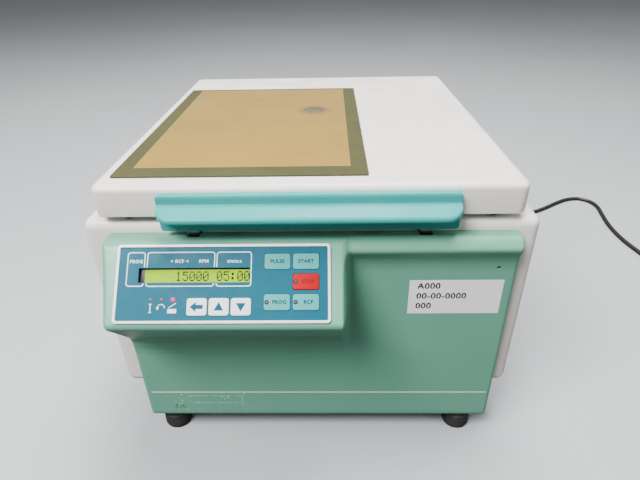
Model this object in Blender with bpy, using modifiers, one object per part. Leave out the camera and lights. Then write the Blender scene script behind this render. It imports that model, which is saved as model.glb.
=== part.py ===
"""Benchtop laboratory centrifuge with a fixed-angle rotor, a hinged lid and a keypad pod.

Metres, +Z up. The front of the machine faces -Y and +X is to its right.
Every y below is measured back from the casing's front face, and every z up from the
surface that the machine stands on. The empty "machine" shifts all of it so that the
origin lies at the middle of the footprint.
"""
import math

import bmesh
import bpy
from mathutils import Matrix, Vector

# ---------------------------------------------------------------- driving dimensions
GAP = 0.0003                     # left between pieces that touch

CASING_HALF = 0.200              # half of the overall width
CASING_DEPTH = 0.450
CASING_BOTTOM = 0.063
DECK_TOP = 0.258                 # flat top of the casing, under the lid
CASING_WALL = 0.003
CASING_ROUND = 0.011             # corners, seen from the front

LID_HALF = 0.184
LID_FRONT = -0.002
LID_BACK = 0.399
LID_BOTTOM = 0.263
LID_TOP = 0.291
LID_ROUND = 0.008
LID_WALL = 0.003

AXIS_Y = 0.214                   # rotor axis, at x = 0
HINGE_Y, HINGE_Z = 0.424, 0.246  # lid hinge axis, along X
GRIP_Y, GRIP_Z = -0.0057, 0.282  # grip strip pivot, along X
GRIP_FRONT = -0.0262

TRAY_HALF = 0.176
TRAY_FRONT, TRAY_BACK = -0.0105, 0.442
TRAY_BOTTOM, TRAY_TOP = 0.0265, 0.0625
SHEET = 0.002

PANEL_LEFT, PANEL_RIGHT = -0.181, 0.1825
PANEL_BOTTOM, PANEL_TOP = 0.0268, 0.2471
PANEL_WALL = 0.0025
PANEL_EDGE = 0.0035              # rounding of its left and right ends
POD_RIGHT = 0.033
LIP_RADIUS = 0.005               # rounding of the pod along its lower front edge

BEZEL_WIDTH, BEZEL_HEIGHT = 0.1785, 0.0656
BEZEL_X = -0.0711                # middle of the keypad bezel
FACE_Y, FACE_Z = -0.0415, 0.2217  # same point on the pod's sloping face
FACE_TILT = math.radians(47)     # turns local Z onto the face's outward normal

BOWL_RADIUS = 0.162              # inside of the rotor chamber
BOWL_FLOOR = 0.118
ROTOR_BOTTOM, ROTOR_TOP = 0.134, 0.220
SHAFT_RADIUS = 0.006
WELLS = 6
WELL_RADIUS, WELL_DEPTH = 0.015, 0.095
WELL_MOUTH_RADIUS = 0.052        # distance of each well's mouth from the rotor axis

REAR_FACE = CASING_DEPTH + GAP + 0.0015      # outside of the rear panel
SOCKET_X, SOCKET_Z = 0.138, 0.104            # mains inlet
SWITCH_X = 0.086
RELEASE_X, RELEASE_Z = 0.165, 0.216          # emergency lid release
HOOK_X = 0.100
ARM_X = 0.122

CORD_RADIUS = 0.0035
CENTRE_Y = 0.1951                # middle of the footprint, measured like every other y

# Route of the mains cord where it isn't coiled: (x, y, z) from connector to coil.
CORD_ROUTE = [
    (0.138, 0.5063, 0.1040), (0.138, 0.5200, 0.1036), (0.1395, 0.5400, 0.0985),
    (0.146, 0.5580, 0.0830), (0.158, 0.5690, 0.0590), (0.175, 0.5730, 0.0345),
    (0.198, 0.5700, 0.0150), (0.226, 0.5600, 0.0052), (0.255, 0.5460, 0.0037),
    (0.290, 0.5260, 0.0037), (0.325, 0.5080, 0.0037), (0.360, 0.4960, 0.0037),
    (0.392, 0.4930, 0.0037), (0.422, 0.4985, 0.0037), (0.452, 0.5160, 0.0037),
    (0.479, 0.5350, 0.0037), (0.506, 0.5510, 0.0037), (0.532, 0.5560, 0.0037),
    (0.551, 0.5430, 0.0037), (0.556, 0.5180, 0.0037), (0.550, 0.4860, 0.0037),
    (0.543, 0.4500, 0.0037), (0.540, 0.4150, 0.0037), (0.541, 0.3800, 0.0037),
    (0.5465, 0.3440, 0.0037), (0.5516, 0.3105, 0.0037),
]
COIL_X, COIL_Y = 0.599, 0.290    # middle of the coil of spare cord
COIL_RADIUS = 0.040              # to the middle of its turns
PLUG_X, PLUG_Y = 0.6427, 0.352   # the plug's body, whose strain relief lies on the coil
PLUG_Z = 0.0190


# ---------------------------------------------------------------- scene and helpers
def clear_scene():
    for item in list(bpy.data.objects):
        bpy.data.objects.remove(item, do_unlink=True)


def new_collection(name):
    group = bpy.data.collections.new(name)
    bpy.context.scene.collection.children.link(group)
    return group


def material(name, colour, roughness, metallic=0.0, alpha=1.0):
    found = bpy.data.materials.get(name)
    if found:
        return found
    made = bpy.data.materials.new(name)
    made.use_nodes = True
    shader = made.node_tree.nodes["Principled BSDF"]
    shader.inputs["Base Color"].default_value = (*colour, 1.0)
    shader.inputs["Roughness"].default_value = roughness
    shader.inputs["Metallic"].default_value = metallic
    shader.inputs["Alpha"].default_value = alpha
    made.diffuse_color = (*colour, alpha)
    return made


def paint(name):
    """The named finish of a sub-part."""
    finishes = {
        "white_shell": ((0.72, 0.69, 0.66), 0.35),
        "green_plastic": ((0.20, 0.42, 0.33), 0.40),
        "turquoise_plastic": ((0.25, 0.60, 0.58), 0.30),
        "keypad_blue": ((0.07, 0.30, 0.42), 0.30),
        "key_light": ((0.25, 0.68, 0.65), 0.40),
        "key_white": ((0.85, 0.85, 0.85), 0.40),
        "key_red": ((0.80, 0.02, 0.05), 0.40),
        "bezel_white": ((0.82, 0.80, 0.78), 0.35),
        "lcd": ((0.42, 0.62, 0.03), 0.15),
        "top_plate": ((0.50, 0.38, 0.22), 0.12),
        "steel": ((0.55, 0.55, 0.56), 0.35, 1.0),
        "aluminium": ((0.70, 0.70, 0.72), 0.30, 1.0),
        "grey_paint": ((0.07, 0.075, 0.08), 0.50),
        "rubber": ((0.02, 0.02, 0.02), 0.80),
        "black_plastic": ((0.02, 0.02, 0.022), 0.45),
        "board_green": ((0.03, 0.20, 0.08), 0.50),
        "clear": ((0.55, 0.50, 0.40), 0.08, 0.0, 0.4),
    }
    return material(name, *finishes[name])


class Build:
    """The collections and the parents that the pieces hang on."""
    parts = None
    cutters = None
    machine = None
    lid = None
    grip = None
    keypad = None


def new_empty(name, at, parent=None, offset=(0.0, 0.0, 0.0), tilt=0.0):
    """An empty at a machine position; offset is its parent's machine position."""
    made = bpy.data.objects.new(name, None)
    made.empty_display_size = 0.02
    Build.parts.objects.link(made)
    made.parent = parent
    made.location = Vector(at) - Vector(offset)
    made.rotation_euler = (tilt, 0.0, 0.0)
    made["origin"] = tuple(at)
    return made


def origin_of(parent):
    return Vector(parent["origin"]) if parent is not Build.keypad else Vector((0, 0, 0))


def place(item, at, parent, rotation=(0.0, 0.0, 0.0)):
    """Hang a piece on a parent, with its own origin at a machine position."""
    item.parent = parent
    item.location = Vector(at) - origin_of(parent)
    item.rotation_euler = rotation


def finish(name, mesh, finish_name, at=(0, 0, 0), parent=None, rotation=(0, 0, 0)):
    """Make the named sub-part from a mesh."""
    item = bpy.data.objects.new(name, mesh)
    Build.parts.objects.link(item)
    place(item, at, parent or Build.machine, rotation)
    mesh.materials.clear()
    mesh.materials.append(paint(finish_name))
    mesh.shade_smooth()
    mesh.set_sharp_from_angle(angle=math.radians(35))
    return item


def cutter(mesh, at=(0, 0, 0), parent=None, rotation=(0, 0, 0)):
    item = bpy.data.objects.new("cutter", mesh)
    Build.cutters.objects.link(item)
    place(item, at, parent or Build.machine, rotation)
    item.hide_render = True
    item.display_type = "WIRE"
    return item


def combine(target, other, operation="DIFFERENCE"):
    step = target.modifiers.new(operation.lower(), "BOOLEAN")
    step.operation = operation
    step.solver = "EXACT"
    step.object = other


def cut_box(target, low, high, parent=None):
    combine(target, cutter(box_mesh(low, high), parent=parent))


def mesh_from(shape):
    mesh = bpy.data.meshes.new("shape")
    bmesh.ops.recalc_face_normals(shape, faces=shape.faces)
    shape.to_mesh(mesh)
    shape.free()
    return mesh


def box_mesh(low, high, round_over=0.0, segments=2, which=None):
    """A box between two corners; which(edge) picks the edges to round, all by default."""
    low, high = Vector(low), Vector(high)
    shape = bmesh.new()
    bmesh.ops.create_cube(shape, size=1.0)
    for point in shape.verts:
        point.co = Vector(((low + high) / 2)[i] + point.co[i] * (high - low)[i] for i in range(3))
    if round_over:
        edges = [e for e in shape.edges if which is None or which(e)]
        bmesh.ops.bevel(shape, geom=edges, offset=round_over, segments=segments,
                        profile=0.5, affect="EDGES", clamp_overlap=True)
    return mesh_from(shape)


def along(axis):
    """A test for edges that run along an axis, 0 to 2."""
    def test(edge):
        run = (edge.verts[1].co - edge.verts[0].co).normalized()
        return abs(run[axis]) > 0.99
    return test


def cylinder_mesh(radius, low, high, segments=24, top_radius=None):
    """A cylinder along Z between two heights."""
    shape = bmesh.new()
    bmesh.ops.create_cone(
        shape, cap_ends=True, segments=segments, radius1=radius,
        radius2=radius if top_radius is None else top_radius, depth=high - low,
        matrix=Matrix.Translation((0, 0, (low + high) / 2)))
    return mesh_from(shape)


def baked(item):
    """The evaluated mesh of an object, which is then removed."""
    bpy.context.view_layer.update()
    graph = bpy.context.evaluated_depsgraph_get()
    mesh = bpy.data.meshes.new_from_object(item.evaluated_get(graph))
    bpy.data.objects.remove(item, do_unlink=True)
    return mesh


def turned_mesh(profile, steps=32, closed=False):
    """Turn (radius, height) points, top to bottom down the outer side, about Z."""
    mesh = bpy.data.meshes.new("profile")
    count = len(profile)
    edges = [(i, i + 1) for i in range(count - 1)]
    if closed:
        edges.append((count - 1, 0))
    mesh.from_pydata([(r, 0.0, z) for r, z in profile], edges, [])
    item = bpy.data.objects.new("profile", mesh)
    Build.cutters.objects.link(item)
    screw = item.modifiers.new("screw", "SCREW")
    screw.axis = "Z"
    screw.steps = steps
    screw.render_steps = steps
    screw.use_merge_vertices = True
    screw.merge_threshold = 0.00001
    return baked(item)


def flat_mesh(loops, thickness):
    """Extrude flat outlines in local XY; the first is the edge and the others are holes."""
    curve = bpy.data.curves.new("outline", "CURVE")
    curve.dimensions = "2D"
    curve.fill_mode = "BOTH"
    curve.extrude = thickness / 2
    for loop in loops:
        spline = curve.splines.new("POLY")
        spline.points.add(len(loop) - 1)
        for point, (x, y) in zip(spline.points, loop):
            point.co = (x, y, 0.0, 1.0)
        spline.use_cyclic_u = True
    item = bpy.data.objects.new("outline", curve)
    Build.cutters.objects.link(item)
    mesh = baked(item)
    shape = bmesh.new()
    shape.from_mesh(mesh)
    bmesh.ops.remove_doubles(shape, verts=shape.verts, dist=0.000005)
    bpy.data.meshes.remove(mesh)
    return mesh_from(shape)


def section_mesh(outline, left, right):
    """Extrude a (y, z) outline along X."""
    mesh = flat_mesh([outline], right - left)
    mesh.transform(Matrix.Translation(((left + right) / 2, 0, 0)) @ Matrix(
        ((0, 0, 1, 0), (1, 0, 0, 0), (0, 1, 0, 0), (0, 0, 0, 1))))
    return mesh


def tube(name, points, radius, finish_name, resolution=2):
    curve = bpy.data.curves.new(name, "CURVE")
    curve.dimensions = "3D"
    curve.bevel_depth = radius
    curve.bevel_resolution = resolution
    curve.use_fill_caps = True
    spline = curve.splines.new("POLY")
    spline.points.add(len(points) - 1)
    for point, at in zip(spline.points, points):
        point.co = (*at, 1.0)
    item = bpy.data.objects.new(name, curve)
    Build.parts.objects.link(item)
    curve.materials.append(paint(finish_name))
    place(item, (0, 0, 0), Build.machine)
    return item


def arc(cx, cy, radius, start, end, steps):
    """Points of an arc, angles in degrees."""
    points = []
    for i in range(steps + 1):
        angle = math.radians(start + (end - start) * i / steps)
        points.append((cx + radius * math.cos(angle), cy + radius * math.sin(angle)))
    return points


def rounded(width, height, radius, x=0.0, y=0.0, steps=3):
    """A rectangle with round corners, about (x, y)."""
    dx, dy = width / 2 - radius, height / 2 - radius
    points = []
    for sx, sy, start in ((1, 1, 0), (-1, 1, 90), (-1, -1, 180), (1, -1, 270)):
        points += arc(x + sx * dx, y + sy * dy, radius, start, start + 90, steps)
    return points


def circle(radius, x=0.0, y=0.0, steps=16):
    return arc(x, y, radius, 0, 360 * (steps - 1) / steps, steps - 1)


# ---------------------------------------------------------------- base and feet
def base_tray():
    """Folded sheet tray that carries everything, with an air hole under the fan."""
    shape = bmesh.new()
    bmesh.ops.create_cube(shape, size=1.0)
    low = Vector((-TRAY_HALF, TRAY_FRONT, TRAY_BOTTOM))
    high = Vector((TRAY_HALF, TRAY_BACK, TRAY_TOP))
    for point in shape.verts:
        point.co = Vector(((low + high) / 2)[i] + point.co[i] * (high - low)[i] for i in range(3))
    bmesh.ops.bevel(shape, geom=[e for e in shape.edges if along(2)(e)], offset=0.008,
                    segments=2, profile=0.5, affect="EDGES")
    bmesh.ops.recalc_face_normals(shape, faces=shape.faces)
    top = [f for f in shape.faces if f.normal.z > 0.9]
    bmesh.ops.delete(shape, geom=top, context="FACES_ONLY")
    mesh = bpy.data.meshes.new("tray")
    shape.to_mesh(mesh)
    shape.free()
    tray = finish("base_tray", mesh, "grey_paint")
    shell = tray.modifiers.new("shell", "SOLIDIFY")
    shell.thickness = SHEET
    shell.offset = -1.0
    shell.use_even_offset = True
    hole = cylinder_mesh(0.045, TRAY_BOTTOM - 0.005, TRAY_BOTTOM + 0.005)
    combine(tray, cutter(hole, (0, AXIS_Y, 0)))


def feet():
    height = TRAY_BOTTOM - GAP
    profile = [(0, height), (0.0125, height), (0.0135, height - 0.002), (0.0145, 0.003),
               (0.0130, 0), (0, 0)]
    for name, x, y in (("foot_front_left", -0.156, 0.0045), ("foot_front_right", 0.156, 0.0045),
                       ("foot_rear_left", -0.156, 0.415), ("foot_rear_right", 0.156, 0.415)):
        finish(name, turned_mesh(profile, 20), "rubber", (x, y, 0))


# ---------------------------------------------------------------- casing and rear
def casing():
    """Moulded shell, open below, with the chamber hole in its deck."""
    outline = rounded(2 * CASING_HALF, DECK_TOP - CASING_BOTTOM, CASING_ROUND, steps=4)
    mesh = flat_mesh([outline], CASING_DEPTH)
    mesh.transform(Matrix.Translation((0, CASING_DEPTH / 2, (DECK_TOP + CASING_BOTTOM) / 2))
                   @ Matrix.Rotation(math.radians(90), 4, "X"))
    shell = finish("casing", mesh, "white_shell")
    inner = rounded(2 * (CASING_HALF - CASING_WALL), DECK_TOP - CASING_BOTTOM - 2 * CASING_WALL,
                    CASING_ROUND - CASING_WALL, steps=4)
    hollow = flat_mesh([inner], CASING_DEPTH - 2 * CASING_WALL)
    hollow.transform(Matrix.Translation((0, CASING_DEPTH / 2, (DECK_TOP + CASING_BOTTOM) / 2))
                     @ Matrix.Rotation(math.radians(90), 4, "X"))
    edge = shell.modifiers.new("edge", "BEVEL")
    edge.width = 0.005
    edge.segments = 2
    edge.limit_method = "ANGLE"
    edge.angle_limit = math.radians(50)
    combine(shell, cutter(hollow))
    cut_box(shell, (-0.172, 0.006, CASING_BOTTOM - 0.01), (0.172, 0.438, CASING_BOTTOM + 0.01))
    chamber = cylinder_mesh(BOWL_RADIUS - 0.002, DECK_TOP - 0.01, DECK_TOP + 0.01, 48)
    combine(shell, cutter(chamber, (0, AXIS_Y, 0)))
    cut_box(shell, (-0.150, -0.01, 0.110), (0.020, 0.02, 0.215))
    cut_box(shell, (-0.1153, -0.01, 0.2297), (0.1153, 0.02, 0.2493))
    cut_box(shell, (-0.164, 0.43, 0.086), (0.164, 0.46, 0.204))
    for side in (-1, 1):
        x = side * ARM_X
        cut_box(shell, (x - 0.013, 0.412, 0.24), (x + 0.013, 0.4445, 0.27))
    bore = cylinder_mesh(0.0042, -0.01, 0.01, 16)
    combine(shell, cutter(bore, (RELEASE_X, 0, RELEASE_Z), rotation=(math.radians(90), 0, 0)))


def rear_panel():
    """Painted sheet with vents and cut-outs for the mains inlet and the switch."""
    middle_z = 0.145
    holes = [rounded(0.029, 0.023, 0.001, SOCKET_X, SOCKET_Z - middle_z, 1),
             rounded(0.0190, 0.0270, 0.001, SWITCH_X, SOCKET_Z - middle_z, 1)]
    for row in range(7):
        for column in (-1, 0):
            holes.append(rounded(0.070, 0.005, 0.0024, -0.040 + column * 0.082,
                                 -0.036 + row * 0.012, 2))
    mesh = flat_mesh([rounded(0.344, 0.134, 0.006, 0, 0, 2)] + holes, 0.0015)
    finish("rear_panel", mesh, "grey_paint", (0, CASING_DEPTH + GAP + 0.00075, middle_z),
           rotation=(math.radians(90), 0, 0))


def mains_inlet():
    """Inlet block: flange outside, body inside, and the socket that the connector fills."""
    outside = REAR_FACE + GAP
    body = finish("mains_inlet", box_mesh(
        (SOCKET_X - 0.024, outside, SOCKET_Z - 0.016),
        (SOCKET_X + 0.024, outside + 0.002, SOCKET_Z + 0.016), 0.003, 2, along(1)), "black_plastic")
    inside = box_mesh((SOCKET_X - 0.014, outside - 0.028, SOCKET_Z - 0.011),
                      (SOCKET_X + 0.014, outside + 0.001, SOCKET_Z + 0.011))
    combine(body, cutter(inside), "UNION")
    cut_box(body, (SOCKET_X - 0.012, outside - 0.014, SOCKET_Z - 0.0085),
            (SOCKET_X + 0.012, outside + 0.01, SOCKET_Z + 0.0085))


def mains_switch():
    """Rocker in the rear panel, pressed at the top in its rest position."""
    outline = [(-0.006, -0.0100), (0.0034, -0.0118), (0.0022, 0), (0.0034, 0.0118),
               (-0.006, 0.0100)]
    mesh = section_mesh(outline, -0.0085, 0.0085)
    finish("mains_switch", mesh, "black_plastic", (SWITCH_X, REAR_FACE - 0.0008, SOCKET_Z),
           rotation=(math.radians(7), 0, 0))


# ---------------------------------------------------------------- front panel and keypad
def panel_outline():
    """Section of the plain part of the front panel, (y, z), with its ridge along the top."""
    back = -GAP
    return ([(back, PANEL_BOTTOM)] + arc(-0.010, PANEL_BOTTOM + 0.004, 0.004, 270, 180, 2)
            + [(-0.0135, 0.120), (-0.0120, 0.2245), (-0.0138, 0.2295), (-0.0182, 0.2335)]
            + arc(-0.0150, PANEL_TOP - 0.0093, 0.005, 190, 120, 3)
            + [(-0.0120, PANEL_TOP - 0.0004), (back, PANEL_TOP)])


def pod_outline():
    """Section of the pod, whose sloping face carries the keypad."""
    back = -0.002                 # buried in the panel, so that the two join cleanly
    face = Vector((FACE_Y, FACE_Z))
    up_slope = Vector((math.cos(FACE_TILT), math.sin(FACE_TILT)))
    outward = Vector((-up_slope.y, up_slope.x))
    face_top = face + up_slope * (BEZEL_HEIGHT / 2 + 0.0007)
    lip = face - up_slope * (BEZEL_HEIGHT / 2 + 0.0006) - outward * LIP_RADIUS
    lean = math.degrees(FACE_TILT)
    return ([(back, 0.118), (-0.0140, 0.122), (-0.0165, 0.1345), (-0.0215, 0.1440)]
            + arc(lip.x, lip.y, LIP_RADIUS, 270 - lean, 90 + lean, 4)
            + [tuple(face_top), (-0.0158, PANEL_TOP), (back, PANEL_TOP)])


def rounded_section(outline, left, right, width):
    """A section extruded along X with its two ends rounded over."""
    mesh = section_mesh(outline, left, right)
    shape = bmesh.new()
    shape.from_mesh(mesh)
    bmesh.ops.dissolve_limit(shape, angle_limit=0.01, verts=shape.verts, edges=shape.edges)
    rims = [e for e in shape.edges if abs(e.verts[0].co.x - e.verts[1].co.x) < 1e-6
            and max(e.verts[0].co.y, e.verts[1].co.y) < -GAP * 2]
    bmesh.ops.bevel(shape, geom=rims, offset=width, segments=2, profile=0.5, affect="EDGES",
                    clamp_overlap=True)
    bpy.data.meshes.remove(mesh)
    return mesh_from(shape)


def inset_outline(points, depth):
    """The hollow behind a section's wall: every side moved inwards, open at the back."""
    count = len(points)
    area = sum(points[i][0] * points[(i + 1) % count][1] - points[(i + 1) % count][0] * points[i][1]
               for i in range(count))
    turn = 1 if area > 0 else -1
    moved = []
    for i in range(count):
        before, here, after = (Vector(points[(i + k) % count]) for k in (-1, 0, 1))
        first, second = (here - before).normalized(), (after - here).normalized()
        left = Vector((-first.y, first.x)) * turn
        right = Vector((-second.y, second.x)) * turn
        middle = (left + right).normalized()
        y, z = here + middle * (depth / max(0.3, middle.dot(left)))
        moved.append((0.01, z) if here.x > -2 * GAP else (y, z))
    return moved


def front_panel():
    """Moulded front: a flat shell with a ridge, and the pod standing out of its left half."""
    shell = rounded_section(panel_outline(), PANEL_LEFT, PANEL_RIGHT, PANEL_EDGE)
    plain = finish("front_panel", shell, "green_plastic")
    pod = rounded_section(pod_outline(), PANEL_LEFT, POD_RIGHT, PANEL_EDGE)
    combine(plain, cutter(pod), "UNION")
    for outline, right in ((panel_outline(), PANEL_RIGHT), (pod_outline(), POD_RIGHT)):
        hollow = section_mesh(inset_outline(outline, PANEL_WALL), PANEL_LEFT + PANEL_WALL,
                              right - PANEL_WALL)
        combine(plain, cutter(hollow))
    cut_box(plain, (-TRAY_HALF - GAP, TRAY_FRONT - GAP, PANEL_BOTTOM - 0.01),
            (TRAY_HALF + GAP, 0.01, PANEL_BOTTOM + 0.006))
    cut_box(plain, (-0.086, -0.0293, -0.006), (0.086, 0.0293, 0.006), Build.keypad)
    bore = cylinder_mesh(0.0023, -0.01, 0.01, 12)
    combine(plain, cutter(bore, (RELEASE_X, -0.012, RELEASE_Z), rotation=(math.radians(90), 0, 0)))
    for side in (-1, 1):
        x = side * HOOK_X
        cut_box(plain, (x - 0.0062, -0.0086, PANEL_TOP - 0.006), (x + 0.0062, 0.01, PANEL_TOP + 0.01))


KEY_SIZE = (0.0216, 0.0132)
ARROW_SIZE = (0.0165, 0.0142)
KEYS = [                           # name, finish, x and y on the face, size
    ("key_impulse", "key_light", 0.0452, 0.0179, KEY_SIZE),
    ("key_start", "key_light", 0.0689, 0.0179, KEY_SIZE),
    ("key_stop", "key_red", 0.0689, 0.0010, KEY_SIZE),
    ("key_program", "key_light", 0.0452, -0.0158, KEY_SIZE),
    ("key_rcf", "key_light", 0.0689, -0.0158, KEY_SIZE),
    ("key_left", "key_white", -0.0204, -0.0193, ARROW_SIZE),
    ("key_up", "key_white", -0.0023, -0.0193, ARROW_SIZE),
    ("key_down", "key_white", 0.0158, -0.0193, ARROW_SIZE),
]
WINDOW = (0.0928, 0.0121, -0.0240, 0.0069)     # display window: width, height, x, y


def keypad():
    """Bezel, printed foil, keys, display and board, all in the pod face's own axes."""
    hang = Build.keypad
    frame = flat_mesh([rounded(BEZEL_WIDTH, BEZEL_HEIGHT, 0.003),
                       rounded(BEZEL_WIDTH - 0.0046, BEZEL_HEIGHT - 0.0046, 0.0015)], 0.0017)
    finish("keypad_bezel", frame, "bezel_white", (0, 0, GAP + 0.00085), hang)
    holes = [rounded(WINDOW[0], WINDOW[1], 0.0008, WINDOW[2], WINDOW[3], 1)]
    for _, _, x, y, (width, height) in KEYS:
        holes.append(rounded(width + 2 * GAP, height + 2 * GAP, 0.0015, x, y, 2))
    foil = flat_mesh([rounded(BEZEL_WIDTH - 0.0052, BEZEL_HEIGHT - 0.0052, 0.0012)] + holes, 0.0008)
    finish("keypad_foil", foil, "keypad_blue", (0, 0, GAP + 0.0004), hang)
    for name, colour, x, y, (width, height) in KEYS:
        cap = finish(name, flat_mesh([rounded(width, height, 0.0015, steps=2)], 0.0025), colour,
                     (x, y, 0.0003), hang)
        stem = cylinder_mesh(0.002, -0.0079, 0.0, 10)
        combine(cap, cutter(stem, (x, y, 0.0003), hang), "UNION")
    display = box_mesh((-0.049, -0.0095, -0.004), (0.049, 0.0095, 0.004), 0.0006, 1, along(2))
    finish("lcd_display", display, "lcd", (WINDOW[2], WINDOW[3], -0.0041), hang)
    board = flat_mesh([rounded(0.160, 0.053, 0.002, steps=1)], 0.0016)
    finish("control_board", board, "board_green", (0, 0, -0.0092), hang)


# ---------------------------------------------------------------- rotor chamber and drive
def chamber():
    """Deep-drawn bowl under the deck, and the lip seal on top of it."""
    r = BOWL_RADIUS
    rim = DECK_TOP - CASING_WALL - 0.0006
    bowl = [(r + 0.010, rim), (r + 0.010, rim - 0.0015), (r + 0.0015, rim - 0.0015),
            (r + 0.0015, 0.132), (r - 0.002, 0.1215), (r - 0.010, BOWL_FLOOR - 0.0015),
            (0.024, BOWL_FLOOR - 0.0015), (0.024, BOWL_FLOOR), (r - 0.0105, BOWL_FLOOR),
            (r - 0.0032, 0.1225), (r, 0.1325), (r, rim)]
    finish("chamber_bowl", turned_mesh(bowl, 48, True), "steel", (0, AXIS_Y, 0))
    low, high = DECK_TOP + GAP, LID_BOTTOM
    lip = [(r + 0.004, high), (r + 0.006, low + 0.002), (r + 0.006, low), (r - 0.002, low),
           (r - 0.002, low + 0.002), (r, high)]
    finish("chamber_seal", turned_mesh(lip, 48, True), "rubber", (0, AXIS_Y, 0))


def drive():
    """Motor on its sprung plate, and the shaft and fan that turn with the rotor."""
    floor = TRAY_BOTTOM + SHEET
    plate_low = 0.0541
    damper = [(0, plate_low - GAP), (0.011, plate_low - GAP), (0.012, plate_low - 0.004),
              (0.0095, 0.041), (0.012, floor + 0.004), (0.011, floor + GAP), (0, floor + GAP)]
    for i in range(3):
        angle = math.radians(90 + 120 * i)
        at = (0.088 * math.cos(angle), AXIS_Y + 0.088 * math.sin(angle), 0)
        finish(f"motor_damper_{i + 1}", turned_mesh(damper, 16), "rubber", at)
    plate = flat_mesh([circle(0.105, steps=36), circle(0.016)], 0.003)
    finish("motor_mount_plate", plate, "steel", (0, AXIS_Y, plate_low + 0.0015))
    low = plate_low + 0.003 + GAP
    housing = [(0.030, 0.1115), (0.030, 0.105), (0.056, 0.105), (0.062, 0.100), (0.062, 0.066),
               (0.058, low), (0.0068, low), (0.0068, 0.1115)]
    finish("motor_housing", turned_mesh(housing, 32, True), "aluminium", (0, AXIS_Y, 0))
    r = SHAFT_RADIUS
    shaft = [(0, 0.232), (0.0042, 0.232), (0.005, 0.231), (0.005, 0.2215), (r, 0.2200),
             (r, ROTOR_BOTTOM - GAP), (0.010, ROTOR_BOTTOM - GAP), (0.010, 0.120), (r, 0.116),
             (r, 0.034), (0, 0.034)]
    finish("motor_shaft", turned_mesh(shaft, 20), "steel", (0, AXIS_Y, 0))
    blades = []
    count = 9
    for i in range(count):
        start = 360 * i / count
        blades += [(0.046 * math.cos(math.radians(start + d)), 0.046 * math.sin(math.radians(start + d)))
                   for d in (-2, 2)]
        blades += [(0.015 * math.cos(math.radians(start + d)), 0.015 * math.sin(math.radians(start + d)))
                   for d in (8, 32)]
    fan = flat_mesh([blades, circle(SHAFT_RADIUS + GAP * 1.3, steps=20)], 0.010)
    finish("motor_fan", fan, "black_plastic", (0, AXIS_Y, 0.043))


def rotor():
    """Fixed-angle rotor: a turned cone with slanted wells, held by a screwed knob."""
    top, low = ROTOR_TOP, ROTOR_BOTTOM
    bore = SHAFT_RADIUS + GAP * 1.3
    profile = [(0.085, top), (0.088, top - 0.002), (0.150, 0.150), (0.150, 0.141),
               (0.146, 0.137), (0.118, 0.137), (0.060, 0.160), (0.030, 0.160), (0.024, low),
               (bore, low), (bore, top)]
    body = finish("rotor", turned_mesh(profile, 48, True), "aluminium", (0, AXIS_Y, 0))
    lean = math.radians(135)
    for i in range(WELLS):
        turn = 2 * math.pi * i / WELLS
        mouth = Vector((WELL_MOUTH_RADIUS * math.cos(turn), AXIS_Y + WELL_MOUTH_RADIUS * math.sin(turn),
                        top))
        well = cylinder_mesh(WELL_RADIUS, -0.03, WELL_DEPTH, 20)
        combine(body, cutter(well, mouth, rotation=(0, lean, turn)))
    knob = [(0, 0.238), (0.012, 0.238), (0.016, 0.235), (0.017, 0.230), (0.015, 0.222),
            (0.015, top + GAP), (0.0055, top + 0.002), (0.0055, 0.2335), (0, 0.2335)]
    finish("rotor_knob", turned_mesh(knob, 20), "black_plastic", (0, AXIS_Y, 0))


# ---------------------------------------------------------------- lid and its hinge
def lid():
    hang = Build.lid
    at = (0, HINGE_Y, HINGE_Z)
    shift = Matrix.Translation(-Vector(at))

    def soft(edge):
        low = min(edge.verts[0].co.z, edge.verts[1].co.z)
        return low > LID_BOTTOM + 0.001 or along(2)(edge)

    outer = box_mesh((-LID_HALF, LID_FRONT, LID_BOTTOM), (LID_HALF, LID_BACK, LID_TOP),
                     LID_ROUND, 3, soft)
    outer.transform(shift)
    shell = finish("lid_shell", outer, "white_shell", at, hang)
    inset = LID_WALL
    hollow = box_mesh((-LID_HALF + inset, LID_FRONT + inset, LID_BOTTOM - 0.02),
                      (LID_HALF - inset, LID_BACK - inset, LID_TOP - inset), LID_ROUND - inset, 3, soft)
    combine(shell, cutter(hollow, at=(0, 0, 0)))
    view = cylinder_mesh(0.0125, LID_TOP - 0.01, LID_TOP + 0.01, 20)
    combine(shell, cutter(view, (0, AXIS_Y, 0)))
    liner_z = LID_BOTTOM + GAP + 0.001
    depth = LID_BACK - LID_FRONT - 2 * (LID_WALL + GAP)
    middle = (LID_BACK + LID_FRONT) / 2
    sheet = flat_mesh([rounded(2 * (LID_HALF - LID_WALL - GAP), depth, LID_ROUND - LID_WALL, 0, 0, 3),
                       circle(0.0125, 0, AXIS_Y - middle, 20)], SHEET)
    finish("lid_liner", sheet, "steel", (0, middle, liner_z), hang)
    lens = cylinder_mesh(0.0121, LID_BOTTOM + 2 * GAP, LID_TOP - GAP / 3, 20)
    finish("viewport_lens", lens, "clear", (0, AXIS_Y, 0), hang)
    left, right, near, far = -0.172, 0.0513, 0.017, 0.3206
    plate = flat_mesh([rounded(right - left, far - near, 0.002, 0, 0, 2)], 0.0015)
    finish("lid_top_plate", plate, "top_plate",
           ((left + right) / 2, (near + far) / 2, LID_TOP + GAP + 0.00075), hang)
    buffer_high = LID_BOTTOM
    profile = [(0, buffer_high), (0.005, buffer_high), (0.005, 0.2595), (0.0035, DECK_TOP + GAP),
               (0, DECK_TOP + GAP)]
    for name, x in (("lid_buffer_left", -0.158), ("lid_buffer_right", 0.158)):
        finish(name, turned_mesh(profile, 14), "rubber", (x, 0.0085, 0), hang)


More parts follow.
